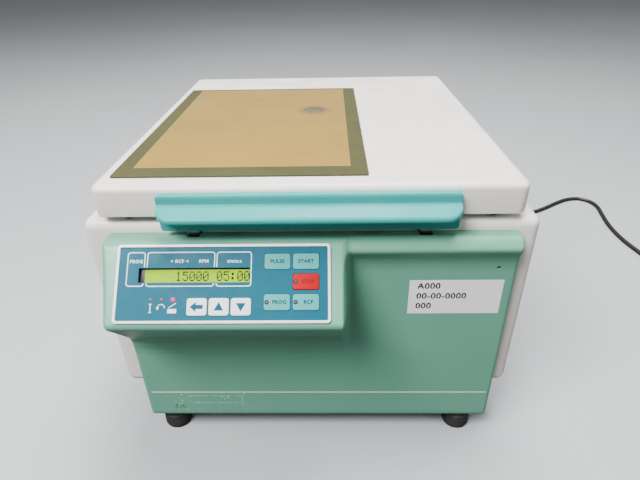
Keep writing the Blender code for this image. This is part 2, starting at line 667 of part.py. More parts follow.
def hinge():
    """Shaft on a bracket under the deck, two goose-neck arms and two torsion springs."""
    low, high = 0.214, 0.2543
    plate = finish("hinge_bracket", box_mesh((-0.145, 0.4449, low), (0.145, 0.4467, high)), "steel")
    for side in (-1, 1):
        for offset in (-0.0155, 0.0155):
            x = side * (ARM_X + offset * side)
            ear = box_mesh((x - 0.0015, 0.4140, 0.2370), (x + 0.0015, 0.4455, high))
            combine(plate, cutter(ear), "UNION")
    sideways = (0, math.radians(90), 0)
    hole = cylinder_mesh(0.0044, -0.16, 0.16, 20)
    combine(plate, cutter(hole, (0, HINGE_Y, HINGE_Z), rotation=sideways))
    finish("hinge_shaft", cylinder_mesh(0.004, -0.142, 0.142, 20), "steel",
           (0, HINGE_Y, HINGE_Z), rotation=sideways)
    strap_low, strap_high = 0.2605, LID_BOTTOM - GAP
    neck = 0.0075
    outline = ([(0.346, strap_high), (0.346, strap_low), (HINGE_Y - neck, strap_low)]
               + arc(HINGE_Y, HINGE_Z, neck, 180, 360, 8)
               + [(HINGE_Y + neck, strap_high)])
    for name, x in (("hinge_arm_left", -ARM_X), ("hinge_arm_right", ARM_X)):
        mesh = section_mesh(outline, -0.010, 0.010)
        mesh.transform(Matrix.Translation((0, -HINGE_Y, -HINGE_Z)))
        arm = finish(name, mesh, "steel", (x, HINGE_Y, HINGE_Z), Build.lid)
        combine(arm, cutter(cylinder_mesh(0.0044, -0.02, 0.02, 20), (x, HINGE_Y, HINGE_Z),
                            Build.lid, sideways))
    for name, side in (("hinge_spring_left", -1), ("hinge_spring_right", 1)):
        tube(name, spring_route(side), 0.001, "steel")


def spring_route(side):
    """A torsion spring about the hinge shaft, with a straight leg at each end."""
    turns, per_turn, radius = 5, 10, 0.0068
    start_x, pitch = 0.066, 0.0062
    points = [(side * start_x, HINGE_Y + 0.017, HINGE_Z - radius)]
    for i in range(turns * per_turn + 1):
        angle = -math.pi / 2 - 2 * math.pi * i / per_turn
        points.append((side * (start_x + pitch * i / per_turn), HINGE_Y + radius * math.cos(angle),
                       HINGE_Z + radius * math.sin(angle)))
    end = points[-1]
    points.append((end[0], HINGE_Y - 0.016, end[2]))
    return points


# ---------------------------------------------------------------- grip strip and lock
def grip_outline():
    """Section of the grip strip: pivot barrel, sloping shelf with a thick lip, back plate."""
    return [(-0.0030, 0.2868), (-0.0068, 0.2872), (-0.0088, 0.2862), (-0.0096, 0.2840),
            (-0.0096, 0.2785), (-0.0108, 0.2774), (-0.0243, 0.2735), (GRIP_FRONT, 0.2716),
            (GRIP_FRONT, 0.2690), (-0.0252, 0.2676), (-0.0226, 0.2672), (-0.0110, 0.2700),
            (-0.0090, 0.2685), (-0.0088, 0.2554), (-0.0080, 0.2546), (-0.0046, 0.2546),
            (-0.0046, 0.2750), (-0.0030, 0.2765)]


def grip():
    hang = Build.grip
    at = (0, GRIP_Y, GRIP_Z)
    half = 0.126
    sideways = (0, math.radians(90), 0)
    mesh = section_mesh(grip_outline(), -half, half)
    mesh.transform(Matrix.Translation(-Vector(at)))
    strip = finish("grip_strip", mesh, "turquoise_plastic", at, hang)
    corner = 0.014
    for side in (-1, 1):
        edge = side * half
        inner = side * (half - corner)
        outline = [(side * (half + 0.01), GRIP_FRONT - 0.01), (inner, GRIP_FRONT - 0.01)]
        outline += [(inner + side * corner * math.sin(a), GRIP_FRONT - GAP + corner * (1 - math.cos(a)))
                    for a in (math.radians(d) for d in (0, 22.5, 45, 67.5, 90))]
        outline += [(edge + side * 0.01, GRIP_FRONT - GAP + corner)]
        trim = flat_mesh([outline], 0.06)
        combine(strip, cutter(trim, (0, 0, 0.265)))
    combine(strip, cutter(cylinder_mesh(0.0016, -0.112, 0.112, 12), at, rotation=sideways))
    for side in (-1, 1):
        x = side * 0.060
        cut_box(strip, (x - 0.0063, -0.0085, 0.2775), (x + 0.0063, 0.01, 0.30))
    finish("grip_shaft", cylinder_mesh(0.00125, -0.1117, 0.1117, 12), "steel", at, Build.lid,
           sideways)
    for name, side in (("grip_bracket_left", -1), ("grip_bracket_right", 1)):
        x = side * 0.060
        lug = finish(name, box_mesh((x - 0.0060, -0.0080, 0.2785), (x + 0.0060, -0.0023, 0.2850),
                                    0.0008, 1, along(0)), "steel", (0, 0, 0), Build.lid)
        combine(lug, cutter(cylinder_mesh(0.0016, -0.01, 0.01, 12), (x, GRIP_Y, GRIP_Z),
                            rotation=sideways))
    shank_front, shank_back, tip = -0.0043, -0.0028, -0.0004
    outline = [(shank_front, 0.2650), (shank_front, 0.2375), (tip - 0.0008, 0.2375),
               (tip, 0.2385), (tip, 0.2405), (shank_back, 0.2405), (shank_back, 0.2615),
               (shank_back, 0.2650)]
    for name, side in (("lock_hook_left", -1), ("lock_hook_right", 1)):
        mesh = section_mesh(outline, -0.005, 0.005)
        mesh.transform(Matrix.Translation((0, -GRIP_Y, -GRIP_Z)))
        finish(name, mesh, "steel", (side * HOOK_X, GRIP_Y, GRIP_Z), hang)


def lock():
    """Keeper bar behind the hooks, and the solenoid bolt with its emergency release."""
    keeper = finish("lock_keeper", box_mesh((-0.115, 0.0008, 0.2300), (0.115, 0.0028, 0.2490)),
                    "steel")
    for side in (-1, 1):
        x = side * HOOK_X
        cut_box(keeper, (x - 0.0065, -0.01, 0.2366), (x + 0.0065, 0.02, 0.2422))
    bolt_y, bolt_z = 0.0135, 0.2390
    sideways = (0, math.radians(90), 0)
    coil = finish("lock_solenoid", box_mesh((0.120, 0.0040, 0.2290), (0.150, 0.0230, 0.2490), 0.001,
                                            1), "black_plastic")
    combine(coil, cutter(cylinder_mesh(0.0034, -0.02, 0.02, 16), (0.135, bolt_y, bolt_z),
                         rotation=sideways))
    finish("lock_bolt", cylinder_mesh(0.003, -0.026, 0.024, 16), "steel", (0.135, bolt_y, bolt_z),
           rotation=sideways)
    profile = [(0, 0.030), (0.009, 0.030), (0.009, 0.024), (0.0035, 0.022), (0.0035, -0.0080),
               (0.0018, -0.0080), (0.0018, -0.0020), (0, -0.0020)]
    finish("release_shaft", turned_mesh(profile, 12), "steel", (RELEASE_X, 0, RELEASE_Z),
           rotation=(math.radians(-90), 0, 0))


def transformer():
    """Mains transformer on the tray: laminated core around its winding."""
    x, y, floor = 0.120, 0.345, TRAY_BOTTOM + SHEET + GAP
    core = finish("transformer", box_mesh((x - 0.036, y - 0.022, floor), (x + 0.036, y + 0.022,
                                                                         floor + 0.062)), "steel")
    winding = box_mesh((x - 0.024, y - 0.032, floor + 0.011), (x + 0.024, y + 0.032, floor + 0.051),
                       0.004, 2, along(2))
    combine(core, cutter(winding), "UNION")


# ---------------------------------------------------------------- mains cord
def smooth(points, spacing):
    """Even points on a Catmull-Rom curve through the route's own points."""
    fine = []
    ends = [points[0]] + list(points) + [points[-1]]
    for i in range(1, len(ends) - 2):
        p0, p1, p2, p3 = (Vector(p) for p in ends[i - 1:i + 3])
        for k in range(12):
            t = k / 12
            fine.append(0.5 * (2 * p1 + (p2 - p0) * t + (2 * p0 - 5 * p1 + 4 * p2 - p3) * t * t
                               + (3 * p1 - p0 - 3 * p2 + p3) * t ** 3))
    fine.append(Vector(points[-1]))
    total = sum((b - a).length for a, b in zip(fine, fine[1:]))
    count = round(total / spacing)
    even, run, target = [fine[0]], 0.0, total / count
    for a, b in zip(fine, fine[1:]):
        step = (b - a).length
        while run + step >= target - 1e-9 and len(even) < count:
            even.append(a.lerp(b, (target - run) / step))
            target += total / count
        run += step
    even.append(fine[-1])
    return even


def cord():
    """Connector in the inlet, the cord along the table, its coil and the plug."""
    nose = REAR_FACE + GAP - 0.014 + GAP
    shoulder = REAR_FACE + 2 * GAP + 0.002 + GAP
    head = finish("appliance_connector", box_mesh(
        (SOCKET_X - 0.0140, shoulder, SOCKET_Z - 0.0105),
        (SOCKET_X + 0.0140, 0.478, SOCKET_Z + 0.0105), 0.003, 2), "black_plastic")
    combine(head, cutter(box_mesh((SOCKET_X - 0.0117, nose, SOCKET_Z - 0.0082),
                                  (SOCKET_X + 0.0117, shoulder + 0.008, SOCKET_Z + 0.0082))), "UNION")
    relief = cylinder_mesh(0.0066, 0.0, 0.034, 16, 0.0046)
    combine(head, cutter(relief, (SOCKET_X, 0.472, SOCKET_Z), rotation=(math.radians(-90), 0, 0)),
            "UNION")
    tube("power_cord", smooth(CORD_ROUTE, 0.0175), CORD_RADIUS, "rubber")
    width, height = 0.0074, 0.0142
    ring = [(COIL_RADIUS + width, height), (COIL_RADIUS + width, 0.0002),
            (COIL_RADIUS - width, 0.0002), (COIL_RADIUS - width, height)]
    finish("power_cord_coil", turned_mesh(ring, 28, True), "rubber", (COIL_X, COIL_Y, 0))
    turn = (math.radians(-90), 0, 0)
    at = (PLUG_X, PLUG_Y, PLUG_Z)
    body = [(0, 0.018), (0.0150, 0.018), (0.0175, 0.016), (0.0185, 0.011), (0.0185, 0.0),
            (0.0150, -0.014), (0.0070, -0.020), (0.0044, -0.046), (0, -0.046)]
    plug = finish("mains_plug", turned_mesh(body, 20), "black_plastic", at, rotation=turn)
    for side in (-1, 1):
        pin = cylinder_mesh(0.0024, 0.010, 0.037, 10)
        pin.transform(Matrix.Translation((side * 0.0095, 0, 0)))
        combine(plug, cutter(pin, at, rotation=turn), "UNION")


# ---------------------------------------------------------------- assembly
def main():
    clear_scene()
    Build.parts = new_collection("laboratory_centrifuge")
    Build.cutters = new_collection("cutters")
    Build.machine = new_empty("machine", (0, 0, 0))
    Build.machine.location = (0, -CENTRE_Y, 0)
    Build.lid = new_empty("lid_hinge_axis", (0, HINGE_Y, HINGE_Z), Build.machine)
    Build.grip = new_empty("grip_axis", (0, GRIP_Y, GRIP_Z), Build.lid, (0, HINGE_Y, HINGE_Z))
    Build.keypad = new_empty("keypad_plane", (BEZEL_X, FACE_Y, FACE_Z), Build.machine,
                             tilt=FACE_TILT)
    base_tray()
    feet()
    casing()
    rear_panel()
    mains_inlet()
    mains_switch()
    front_panel()
    keypad()
    chamber()
    drive()
    rotor()
    lid()
    hinge()
    grip()
    lock()
    transformer()
    cord()


main()
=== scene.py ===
"""Looks of a benchtop laboratory centrifuge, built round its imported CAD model.

Metres, +Z up; the front of the machine faces -Y and +X is to its right. Positions are
written as in the CAD source, where y is measured back from the casing's front face, and
HOME carries them into the model's own frame. Lengths in millimetres say so.
"""
import math

import bmesh
import bpy
from mathutils import Matrix, Vector


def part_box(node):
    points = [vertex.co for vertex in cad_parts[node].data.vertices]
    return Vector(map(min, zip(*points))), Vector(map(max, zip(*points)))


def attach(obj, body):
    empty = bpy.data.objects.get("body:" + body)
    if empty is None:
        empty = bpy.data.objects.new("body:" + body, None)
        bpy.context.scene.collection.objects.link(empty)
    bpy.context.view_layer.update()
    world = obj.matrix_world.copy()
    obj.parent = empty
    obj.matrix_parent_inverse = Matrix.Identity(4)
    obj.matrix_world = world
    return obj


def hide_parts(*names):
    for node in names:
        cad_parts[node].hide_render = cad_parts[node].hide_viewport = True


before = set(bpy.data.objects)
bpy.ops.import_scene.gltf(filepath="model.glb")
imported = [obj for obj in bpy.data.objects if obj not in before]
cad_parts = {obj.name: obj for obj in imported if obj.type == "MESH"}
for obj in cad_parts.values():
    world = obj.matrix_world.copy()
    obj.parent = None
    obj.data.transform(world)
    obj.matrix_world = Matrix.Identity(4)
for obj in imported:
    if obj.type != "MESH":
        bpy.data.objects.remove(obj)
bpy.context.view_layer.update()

MM = 0.001
CENTRE_Y = 0.1951                 # middle of the footprint, behind the casing's front face
HOME = Matrix.Translation((0, -CENTRE_Y, 0))
KEYPAD_AT = (-0.0711, -0.0415, 0.2217)
KEYPAD_TILT = math.radians(47)
KEYPAD = HOME @ Matrix.Translation(KEYPAD_AT) @ Matrix.Rotation(KEYPAD_TILT, 4, "X")
AXIS_Y = 0.214                    # rotor axis
SPINDLE = HOME @ Matrix.Translation((0, AXIS_Y, 0))


# ---------------------------------------------------------------- camera, floor and light
def camera():
    """Turned down by pitch and to the left by yaw, with a little roll."""
    pitch, yaw, roll = 0.535727, -0.026761, 0.021157
    ahead = Vector((math.sin(yaw) * math.cos(pitch), math.cos(yaw) * math.cos(pitch),
                    -math.sin(pitch)))
    level = Vector((math.cos(yaw), -math.sin(yaw), 0))
    down = ahead.cross(level)
    right = level * math.cos(roll) + down * math.sin(roll)
    down = down * math.cos(roll) - level * math.sin(roll)
    data = bpy.data.cameras.new("camera")
    data.lens, data.sensor_width = 27.255, 36.0
    data.clip_start, data.clip_end = 0.01, 60.0
    item = bpy.data.objects.new("camera", data)
    bpy.context.scene.collection.objects.link(item)
    turned = Matrix((right, -down, -ahead)).transposed().to_4x4()
    item.matrix_world = HOME @ Matrix.Translation((0.0187, -0.3658, 0.4553)) @ turned
    bpy.context.scene.camera = item


def area_light(name, at, target, size, power, colour=(1, 1, 1)):
    data = bpy.data.lights.new(name, "AREA")
    data.shape, data.size, data.size_y = "RECTANGLE", size[0], size[1]
    data.energy, data.color = power, colour
    item = bpy.data.objects.new(name, data)
    bpy.context.scene.collection.objects.link(item)
    item.location = at
    item.rotation_mode = "QUATERNION"
    item.rotation_quaternion = (Vector(target) - Vector(at)).to_track_quat("-Z", "Y")


def studio():
    world = bpy.data.worlds.new("studio")
    bpy.context.scene.world = world
    world.use_nodes = True
    sky = world.node_tree.nodes["Background"]
    sky.inputs["Color"].default_value = (0.86, 0.90, 0.93, 1)
    sky.inputs["Strength"].default_value = 0.26
    shape = bmesh.new()
    bmesh.ops.create_circle(shape, cap_ends=True, segments=96, radius=14.0)
    mesh = bpy.data.meshes.new("floor")
    shape.to_mesh(mesh)
    shape.free()
    floor = bpy.data.objects.new("floor", mesh)
    bpy.context.scene.collection.objects.link(floor)
    look = Look("floor_paint", 0.55)
    # the floor shows pale to the camera but near black to all bounced light, so it sends no light up and
    # leaves the undersides of the machine in shade
    seen = look.node("ShaderNodeLightPath").outputs["Is Camera Ray"]
    pale = look.mottled((0.44, 0.455, 0.465), 0.05, 0.9)
    look.colour(look.mix(seen, (0.06, 0.06, 0.06), pale))
    look.bump(look.noise(0.002, 3), 0.05, 0.0002)
    mesh.materials.append(look.material)
    area_light("key", (-1.0, -1.2, 2.1), (0, -0.05, 0.15), (1.2, 0.9), 132, (1.0, 0.985, 0.97))
    area_light("ceiling", (0.2, 0.3, 2.3), (0, 0.1, 0.2), (1.3, 0.9), 98, (1.0, 0.99, 0.98))
    area_light("right_panel", (1.8, -0.9, 1.1), (0, 0, 0.2), (0.9, 0.9), 9, (1.0, 0.98, 0.96))


# ---------------------------------------------------------------- materials
class Look:
    """A procedural material, with short calls for the nodes that it is built from."""

    def __init__(self, name, roughness, metallic=0.0, **sockets):
        self.material = bpy.data.materials.new(name)
        self.material.use_nodes = True
        self.tree = self.material.node_tree
        self.shader = self.tree.nodes["Principled BSDF"]
        self.place = self.node("ShaderNodeTexCoord").outputs["Object"]
        self.shader.inputs["Roughness"].default_value = roughness
        self.shader.inputs["Metallic"].default_value = metallic
        for key, value in sockets.items():
            self.shader.inputs[key.replace("_", " ")].default_value = value

    def node(self, kind, inputs=(), **settings):
        made = self.tree.nodes.new(kind)
        for key, value in settings.items():
            setattr(made, key, value)
        for key, value in dict(inputs).items():
            self.put(made.inputs[key], value)
        return made

    def put(self, socket, value):
        if isinstance(value, bpy.types.NodeSocket):
            self.tree.links.new(value, socket)
        elif socket.type == "RGBA":
            socket.default_value = (*value[:3], 1.0)
        else:
            socket.default_value = value

    def stretched(self, scale, turn=(0, 0, 0)):
        return self.node("ShaderNodeMapping", {
            "Vector": self.place, "Scale": scale, "Rotation": turn}).outputs["Vector"]

    def noise(self, size, detail=4.0, where=None):
        return self.node("ShaderNodeTexNoise", {
            "Vector": where or self.place, "Scale": 1 / size,
            "Detail": detail}).outputs["Fac"]

    def cells(self, size, feature="F1", randomness=1.0):
        return self.node("ShaderNodeTexVoronoi", {
            "Vector": self.place, "Scale": 1 / size, "Randomness": randomness},
            feature=feature).outputs["Distance"]

    def ramp(self, value, low, high, to_low=0.0, to_high=1.0):
        return self.node("ShaderNodeMapRange", {
            "Value": value, "From Min": low, "From Max": high, "To Min": to_low,
            "To Max": to_high}, clamp=True).outputs["Result"]

    def math(self, operation, first, second=0.0):
        made = self.node("ShaderNodeMath", operation=operation)
        self.put(made.inputs[0], first)
        self.put(made.inputs[1], second)
        return made.outputs[0]

    def times(self, first, second):
        return self.math("MULTIPLY", first, second)

    def mix(self, factor, first, second):
        made = self.node("ShaderNodeMix", data_type="RGBA")
        self.put(made.inputs[0], factor)
        self.put(made.inputs[6], first)
        self.put(made.inputs[7], second)
        return made.outputs[2]

    def over(self, base, mask, share, colour):
        """The base, with a share of another colour where the mask is 1."""
        return self.mix(self.times(mask, share), base, colour)

    def axes(self):
        return self.node("ShaderNodeSeparateXYZ", {"Vector": self.place}).outputs

    def inside(self, value, low, high, soft=0.002):
        """1 between two values and 0 outside them, with soft ends."""
        rise = self.ramp(value, low - soft, low + soft)
        return self.times(rise, self.ramp(value, high - soft, high + soft, 1, 0))

    def mottled(self, colour, amount, size, tint=(0.94, 0.97, 1.0)):
        """The colour, a little darker in soft patches."""
        darker = tuple(c * (1 - amount) * t for c, t in zip(colour, tint))
        return self.mix(self.ramp(self.noise(size, 5), 0.35, 0.70), colour, darker)

    def colour(self, value):
        self.put(self.shader.inputs["Base Color"], value)

    def gloss(self, low, high, size):
        """Roughness between two values, in patches of a size."""
        self.put(self.shader.inputs["Roughness"],
                 self.ramp(self.noise(size, 5), 0.35, 0.68, low, high))

    def bump(self, height, strength, distance, under=None):
        made = self.node("ShaderNodeBump", {
            "Height": height, "Strength": strength, "Distance": distance})
        if under:
            self.put(made.inputs["Normal"], under)
        self.put(self.shader.inputs["Normal"], made.outputs["Normal"])
        return made.outputs["Normal"]

    def peel(self, fine=0.0009, coarse=0.006, strength=0.12):
        """The skin of moulded plastic: fine grain on a slow waviness."""
        slow = self.bump(self.noise(coarse, 2), strength, 0.0003)
        return self.bump(self.noise(fine, 2), strength, 0.00008, slow)


def plastic(name, colour, rough, fine=0.0009, strength=0.12):
    look = Look(name, rough[0])
    look.colour(look.mottled(colour, 0.06, 0.07))
    look.gloss(rough[0], rough[1], 0.02)
    look.peel(fine, strength=strength)
    return look.material


def white_housing():
    """Lacquered off-white, a little yellowed, with rubbed marks, and darker in patches towards the
    bottom.
    """
    look = Look("white_housing", 0.34, Specular_IOR_Level=0.40)
    base = look.mottled((0.840, 0.805, 0.780), 0.04, 0.11, (1.0, 0.985, 0.96))
    z = look.axes()[2]
    # darker in noisy patches towards the bottom of the casing
    low = look.times(look.ramp(z, 0.115, 0.063), look.ramp(look.noise(0.02, 6), 0.4, 0.8))
    base = look.over(base, low, 0.35, (0.46, 0.43, 0.39))
    rubs = look.ramp(look.noise(0.012, 3, look.stretched((1, 0.12, 1), (0.3, 0.5, 0.9))), 0.70, 0.78)
    base = look.over(base, rubs, 0.22, (0.60, 0.585, 0.56))
    specks = look.ramp(look.cells(0.013), 0.022, 0.012)
    base = look.over(base, specks, 0.5, (0.42, 0.39, 0.35))
    look.colour(base)
    look.gloss(0.27, 0.44, 0.03)
    look.peel(0.0012, 0.009, 0.10)
    return look.material


def green_panel():
    """Mint lacquer with a dusting of scuffs and chips at the lower left."""
    look = Look("green_panel", 0.36, Specular_IOR_Level=0.35)
    base = look.mottled((0.125, 0.345, 0.245), 0.07, 0.10, (0.96, 1.0, 1.0))
    axes = look.axes()
    x, z = axes[0], axes[2]
    corner = look.times(look.inside(x, -0.152, -0.058, 0.012),
                       look.inside(z, 0.030, 0.066, 0.008))
    chips = look.times(look.ramp(look.cells(0.0048), 0.20, 0.10),
                      look.ramp(look.noise(0.011, 2), 0.50, 0.58))
    base = look.mix(look.times(chips, corner), base, (0.74, 0.84, 0.78))
    corner = look.times(look.inside(x, -0.151, -0.120, 0.006),
                       look.inside(z, 0.029, 0.050, 0.004))
    specks = look.times(look.ramp(look.cells(0.0022), 0.24, 0.14),
                       look.ramp(look.noise(0.004, 2), 0.50, 0.58))
    base = look.mix(look.times(specks, corner), base, (0.80, 0.88, 0.84))
    outer = look.times(look.inside(x, -0.1320, -0.0755, 0.0003),
                      look.inside(z, 0.0460, 0.0570, 0.0003))
    inner = look.times(look.inside(x, -0.1312, -0.0763, 0.0003),
                      look.inside(z, 0.0467, 0.0563, 0.0003))
    glue = look.times(look.math("SUBTRACT", outer, inner),
                     look.ramp(look.noise(0.005, 3), 0.38, 0.55))
    base = look.over(base, glue, 0.6, (0.62, 0.76, 0.70))
    dark = look.times(look.inside(x, -0.150, -0.138, 0.002),
                     look.inside(z, 0.0385, 0.0435, 0.0012))
    dark = look.times(dark, look.ramp(look.noise(0.003, 3), 0.46, 0.56))
    base = look.mix(dark, base, (0.05, 0.08, 0.07))
    fine = look.ramp(look.noise(0.0016, 4, look.stretched((0.10, 1, 1), (0, 0.4, 0))), 0.73, 0.79)
    base = look.over(base, fine, 0.20, (0.52, 0.70, 0.62))
    look.colour(base)
    look.gloss(0.28, 0.44, 0.025)
    look.peel(0.0011, 0.008, 0.10)
    return look.material


def turquoise():
    look = Look("turquoise_gloss", 0.24, Specular_IOR_Level=0.14)
    base = look.mottled((0.034, 0.335, 0.315), 0.05, 0.05)
    rubs = look.ramp(look.noise(0.004, 4, look.stretched((0.15, 1, 1))), 0.68, 0.76)
    base = look.over(base, rubs, 0.18, (0.16, 0.46, 0.44))
    dots = look.ramp(look.cells(0.017), 0.030, 0.018)
    look.colour(look.over(base, dots, 0.6, (0.10, 0.30, 0.30)))
    look.gloss(0.20, 0.34, 0.014)
    look.peel(0.0014, 0.012, 0.09)
    return look.material


def film(name, colour, rough=0.42, patch=0.07, emit=None):
    """Printed polyester film, with a fine texture and slow shine."""
    look = Look(name, rough, Specular_IOR_Level=0.09)
    look.colour(look.mottled(colour, patch, 0.035))
    look.gloss(rough - 0.05, rough + 0.08, 0.011)
    look.bump(look.noise(0.0004, 2), 0.12, 0.00005)
    if emit:
        look.shader.inputs["Emission Color"].default_value = (*colour, 1)
        look.shader.inputs["Emission Strength"].default_value = emit
    return look.material


def tan_pane():
    """Amber sheet, clouded by years of wiping, with faint scratches, and painted shade that darkens it
    towards the back and round the viewport.
    """
    look = Look("tan_pane", 0.34, Specular_IOR_Level=0.22)
    y = look.axes()[1]
    base = look.mix(look.ramp(look.noise(0.09, 4), 0.35, 0.68), (0.315, 0.198, 0.038),
                    (0.270, 0.174, 0.038))
    # painted shade: the pane grows darker towards the back
    back = look.ramp(y, -0.18, 0.10, 0.0, 0.45)
    base = look.mix(back, base, (0.215, 0.152, 0.066))
    wipes = look.ramp(look.noise(0.01, 5, look.stretched((0.10, 1, 1), (0, 0, 0.35))), 0.50, 0.80)
    base = look.over(base, wipes, 0.16, (0.36, 0.25, 0.10))
    # painted shade: a dark ring round the viewport
    shade = look.node("ShaderNodeVectorMath", {0: look.place, 1: (0.0, AXIS_Y - CENTRE_Y, 0.2926)},
                      operation="DISTANCE").outputs["Value"]
    look.colour(look.mix(look.ramp(shade, 0.024, 0.012, 0.0, 0.45), base, (0.10, 0.075, 0.035)))
    look.gloss(0.28, 0.42, 0.02)
    look.bump(look.noise(0.03, 2), 0.05, 0.0003)
    return look.material


def brushed(name, colour, rough=(0.24, 0.40), grain=(1, 0.02, 1)):
    look = Look(name, rough[0], 1.0)
    lines = look.noise(0.0009, 3, look.stretched(grain))
    look.colour(look.mix(look.ramp(lines, 0.35, 0.65), colour, tuple(c * 0.82 for c in colour)))
    look.put(look.shader.inputs["Roughness"], look.ramp(lines, 0.3, 0.7, *rough))
    look.bump(lines, 0.10, 0.00006)
    return look.material


def turned(name, colour, rough=(0.22, 0.36), pitch=0.0009):
    """Metal turned on a lathe about the rotor axis: rings that catch the light."""
    look = Look(name, rough[0], 1.0)
    middle = (0.0, AXIS_Y - CENTRE_Y, 0.0)
    offset = look.node("ShaderNodeVectorMath", {0: look.place, 1: middle}, operation="SUBTRACT")
    flat = look.node("ShaderNodeVectorMath", {0: offset.outputs[0], 1: (1, 1, 0)},
                     operation="MULTIPLY")
    radius = look.node("ShaderNodeVectorMath", {0: flat.outputs[0]}, operation="LENGTH")
    height = look.axes()[2]
    along = look.math("ADD", radius.outputs["Value"], height)
    wave = look.math("SINE", look.times(along, 2 * math.pi / pitch))
    rings = look.math("ADD", look.times(wave, 0.25), look.noise(0.004, 4))
    look.colour(look.mix(look.ramp(rings, 0.2, 0.8), colour, tuple(c * 0.85 for c in colour)))
    look.put(look.shader.inputs["Roughness"], look.ramp(rings, 0.2, 0.8, *rough))
    look.bump(wave, 0.06, 0.00004)
    return look.material


def rubbery(name, colour=(0.020, 0.020, 0.021), rough=(0.62, 0.85)):
    look = Look(name, rough[0])
    dust = look.ramp(look.noise(0.006, 6), 0.55, 0.80, 0.0, 0.30)
    look.colour(look.mix(dust, colour, (0.16, 0.155, 0.15)))
    look.gloss(rough[0], rough[1], 0.008)
    look.bump(look.noise(0.0007, 3), 0.25, 0.0001)
    return look.material


def lettered(name, colour, rough=0.45):
    """Printing ink, very slightly uneven."""
    look = Look(name, rough, Specular_IOR_Level=0.06)
    look.colour(look.mottled(colour, 0.10, 0.004))
    look.gloss(rough - 0.06, rough + 0.06, 0.003)
    return look.material


def lit_display():
    """Back-lit liquid crystal panel with its faint grid of dots."""
    look = Look("lit_display", 0.50, Specular_IOR_Level=0.02)
    x = look.axes()[0]
    uneven = look.ramp(look.noise(0.025, 2), 0.3, 0.7)
    base = look.mix(uneven, (0.220, 0.420, 0.001), (0.290, 0.480, 0.002))
    stripes = look.ramp(look.math("SINE", look.times(x, 2 * math.pi / 0.00105)), 0.7, 1.0)
    base = look.over(base, stripes, 0.14, (0.150, 0.260, 0.001))
    look.colour(base)
    look.put(look.shader.inputs["Emission Color"], base)
    look.shader.inputs["Emission Strength"].default_value = 0.20
    return look.material


def circuit_board():
    look = Look("circuit_board_coat", 0.38)
    tracks = look.ramp(look.cells(0.006, "DISTANCE_TO_EDGE", 0.0), 0.05, 0.09)
    look.colour(look.mix(tracks, (0.030, 0.16, 0.06), (0.016, 0.10, 0.04)))
    look.gloss(0.30, 0.46, 0.01)
    look.bump(tracks, 0.2, 0.00005)
    return look.material


def cast_metal():
    look = Look("cast_metal", 0.45, 1.0)
    look.colour(look.mottled((0.50, 0.50, 0.51), 0.2, 0.01))
    look.gloss(0.38, 0.60, 0.006)
    look.bump(look.noise(0.0012, 4), 0.35, 0.0002)
    return look.material


def smoked_glass():
    look = Look("smoked_glass", 0.06, Coat_Weight=0.5)
    look.colour(look.mottled((0.150, 0.125, 0.080), 0.25, 0.01))
    look.gloss(0.05, 0.14, 0.01)
    look.bump(look.noise(0.004, 2), 0.03, 0.0001)
    return look.material


class Finish:
    """Every material of the machine."""
    white = white_housing()
    green = green_panel()
    turquoise = turquoise()
    bezel = plastic("bezel_white", (0.88, 0.86, 0.84), (0.30, 0.40))
    foil = film("keypad_blue", (0.003, 0.098, 0.150))
    key_light = film("key_turquoise", (0.065, 0.330, 0.320))
    key_red = film("key_red", (0.400, 0.0, 0.004))
    key_white = film("key_white", (0.820, 0.830, 0.830))
    display = lit_display()
    dots = lettered("display_dots", (0.006, 0.018, 0.001), 0.3)
    white_ink = lettered("white_ink", (0.86, 0.88, 0.88))
    blue_ink = lettered("blue_ink", (0.006, 0.085, 0.140))
    dark_ink = lettered("dark_ink", (0.030, 0.030, 0.034))
    teal_ink = lettered("teal_ink", (0.004, 0.042, 0.066))
    stop_ink = lettered("stop_ink", (0.13, 0.015, 0.020))
    lamp_off = film("lamp_off", (0.130, 0.120, 0.140), 0.25)
    lamp_on = film("lamp_on", (0.62, 0.02, 0.20), 0.25, emit=0.3)
    olive = film("olive_border", (0.073, 0.073, 0.034), 0.42, 0.10)
    tan = tan_pane()
    smoked = smoked_glass()
    label = film("paper_label", (0.88, 0.87, 0.87), 0.42, 0.04)
    steel = brushed("zinc_steel", (0.56, 0.56, 0.57))
    bowl = turned("bowl_steel_spun", (0.62, 0.62, 0.63), (0.20, 0.34), 0.0016)
    liner = brushed("liner_steel", (0.60, 0.60, 0.61), (0.26, 0.40), (0.02, 1, 1))
    rotor = turned("rotor_anodised", (0.60, 0.61, 0.64), (0.24, 0.38))
    cast = cast_metal()
    rubber = rubbery("black_rubber_worn")
    jacket = rubbery("cord_jacket_black", (0.014, 0.014, 0.015), (0.38, 0.55))
    black = plastic("black_plastic_grained", (0.022, 0.022, 0.024), (0.38, 0.52), 0.0006, 0.25)
    coat = plastic("grey_powder_coat", (0.078, 0.083, 0.088), (0.42, 0.56), 0.0010, 0.35)
    board = circuit_board()


# ---------------------------------------------------------------- meshes
def to_mesh(shape):
    mesh = bpy.data.meshes.new("shape")
    bmesh.ops.recalc_face_normals(shape, faces=shape.faces)
    shape.to_mesh(mesh)
    shape.free()
    return mesh


def evaluated(item):
    """The final mesh of a temporary object, which is then removed."""
    bpy.context.view_layer.update()
    mesh = bpy.data.meshes.new_from_object(item.evaluated_get(
        bpy.context.evaluated_depsgraph_get()))
    bpy.data.objects.remove(item, do_unlink=True)
    return mesh


def temporary(name, data):
    item = bpy.data.objects.new(name, data)
    bpy.context.scene.collection.objects.link(item)
    return item


def moved(mesh, matrix):
    mesh.transform(matrix)
    return mesh


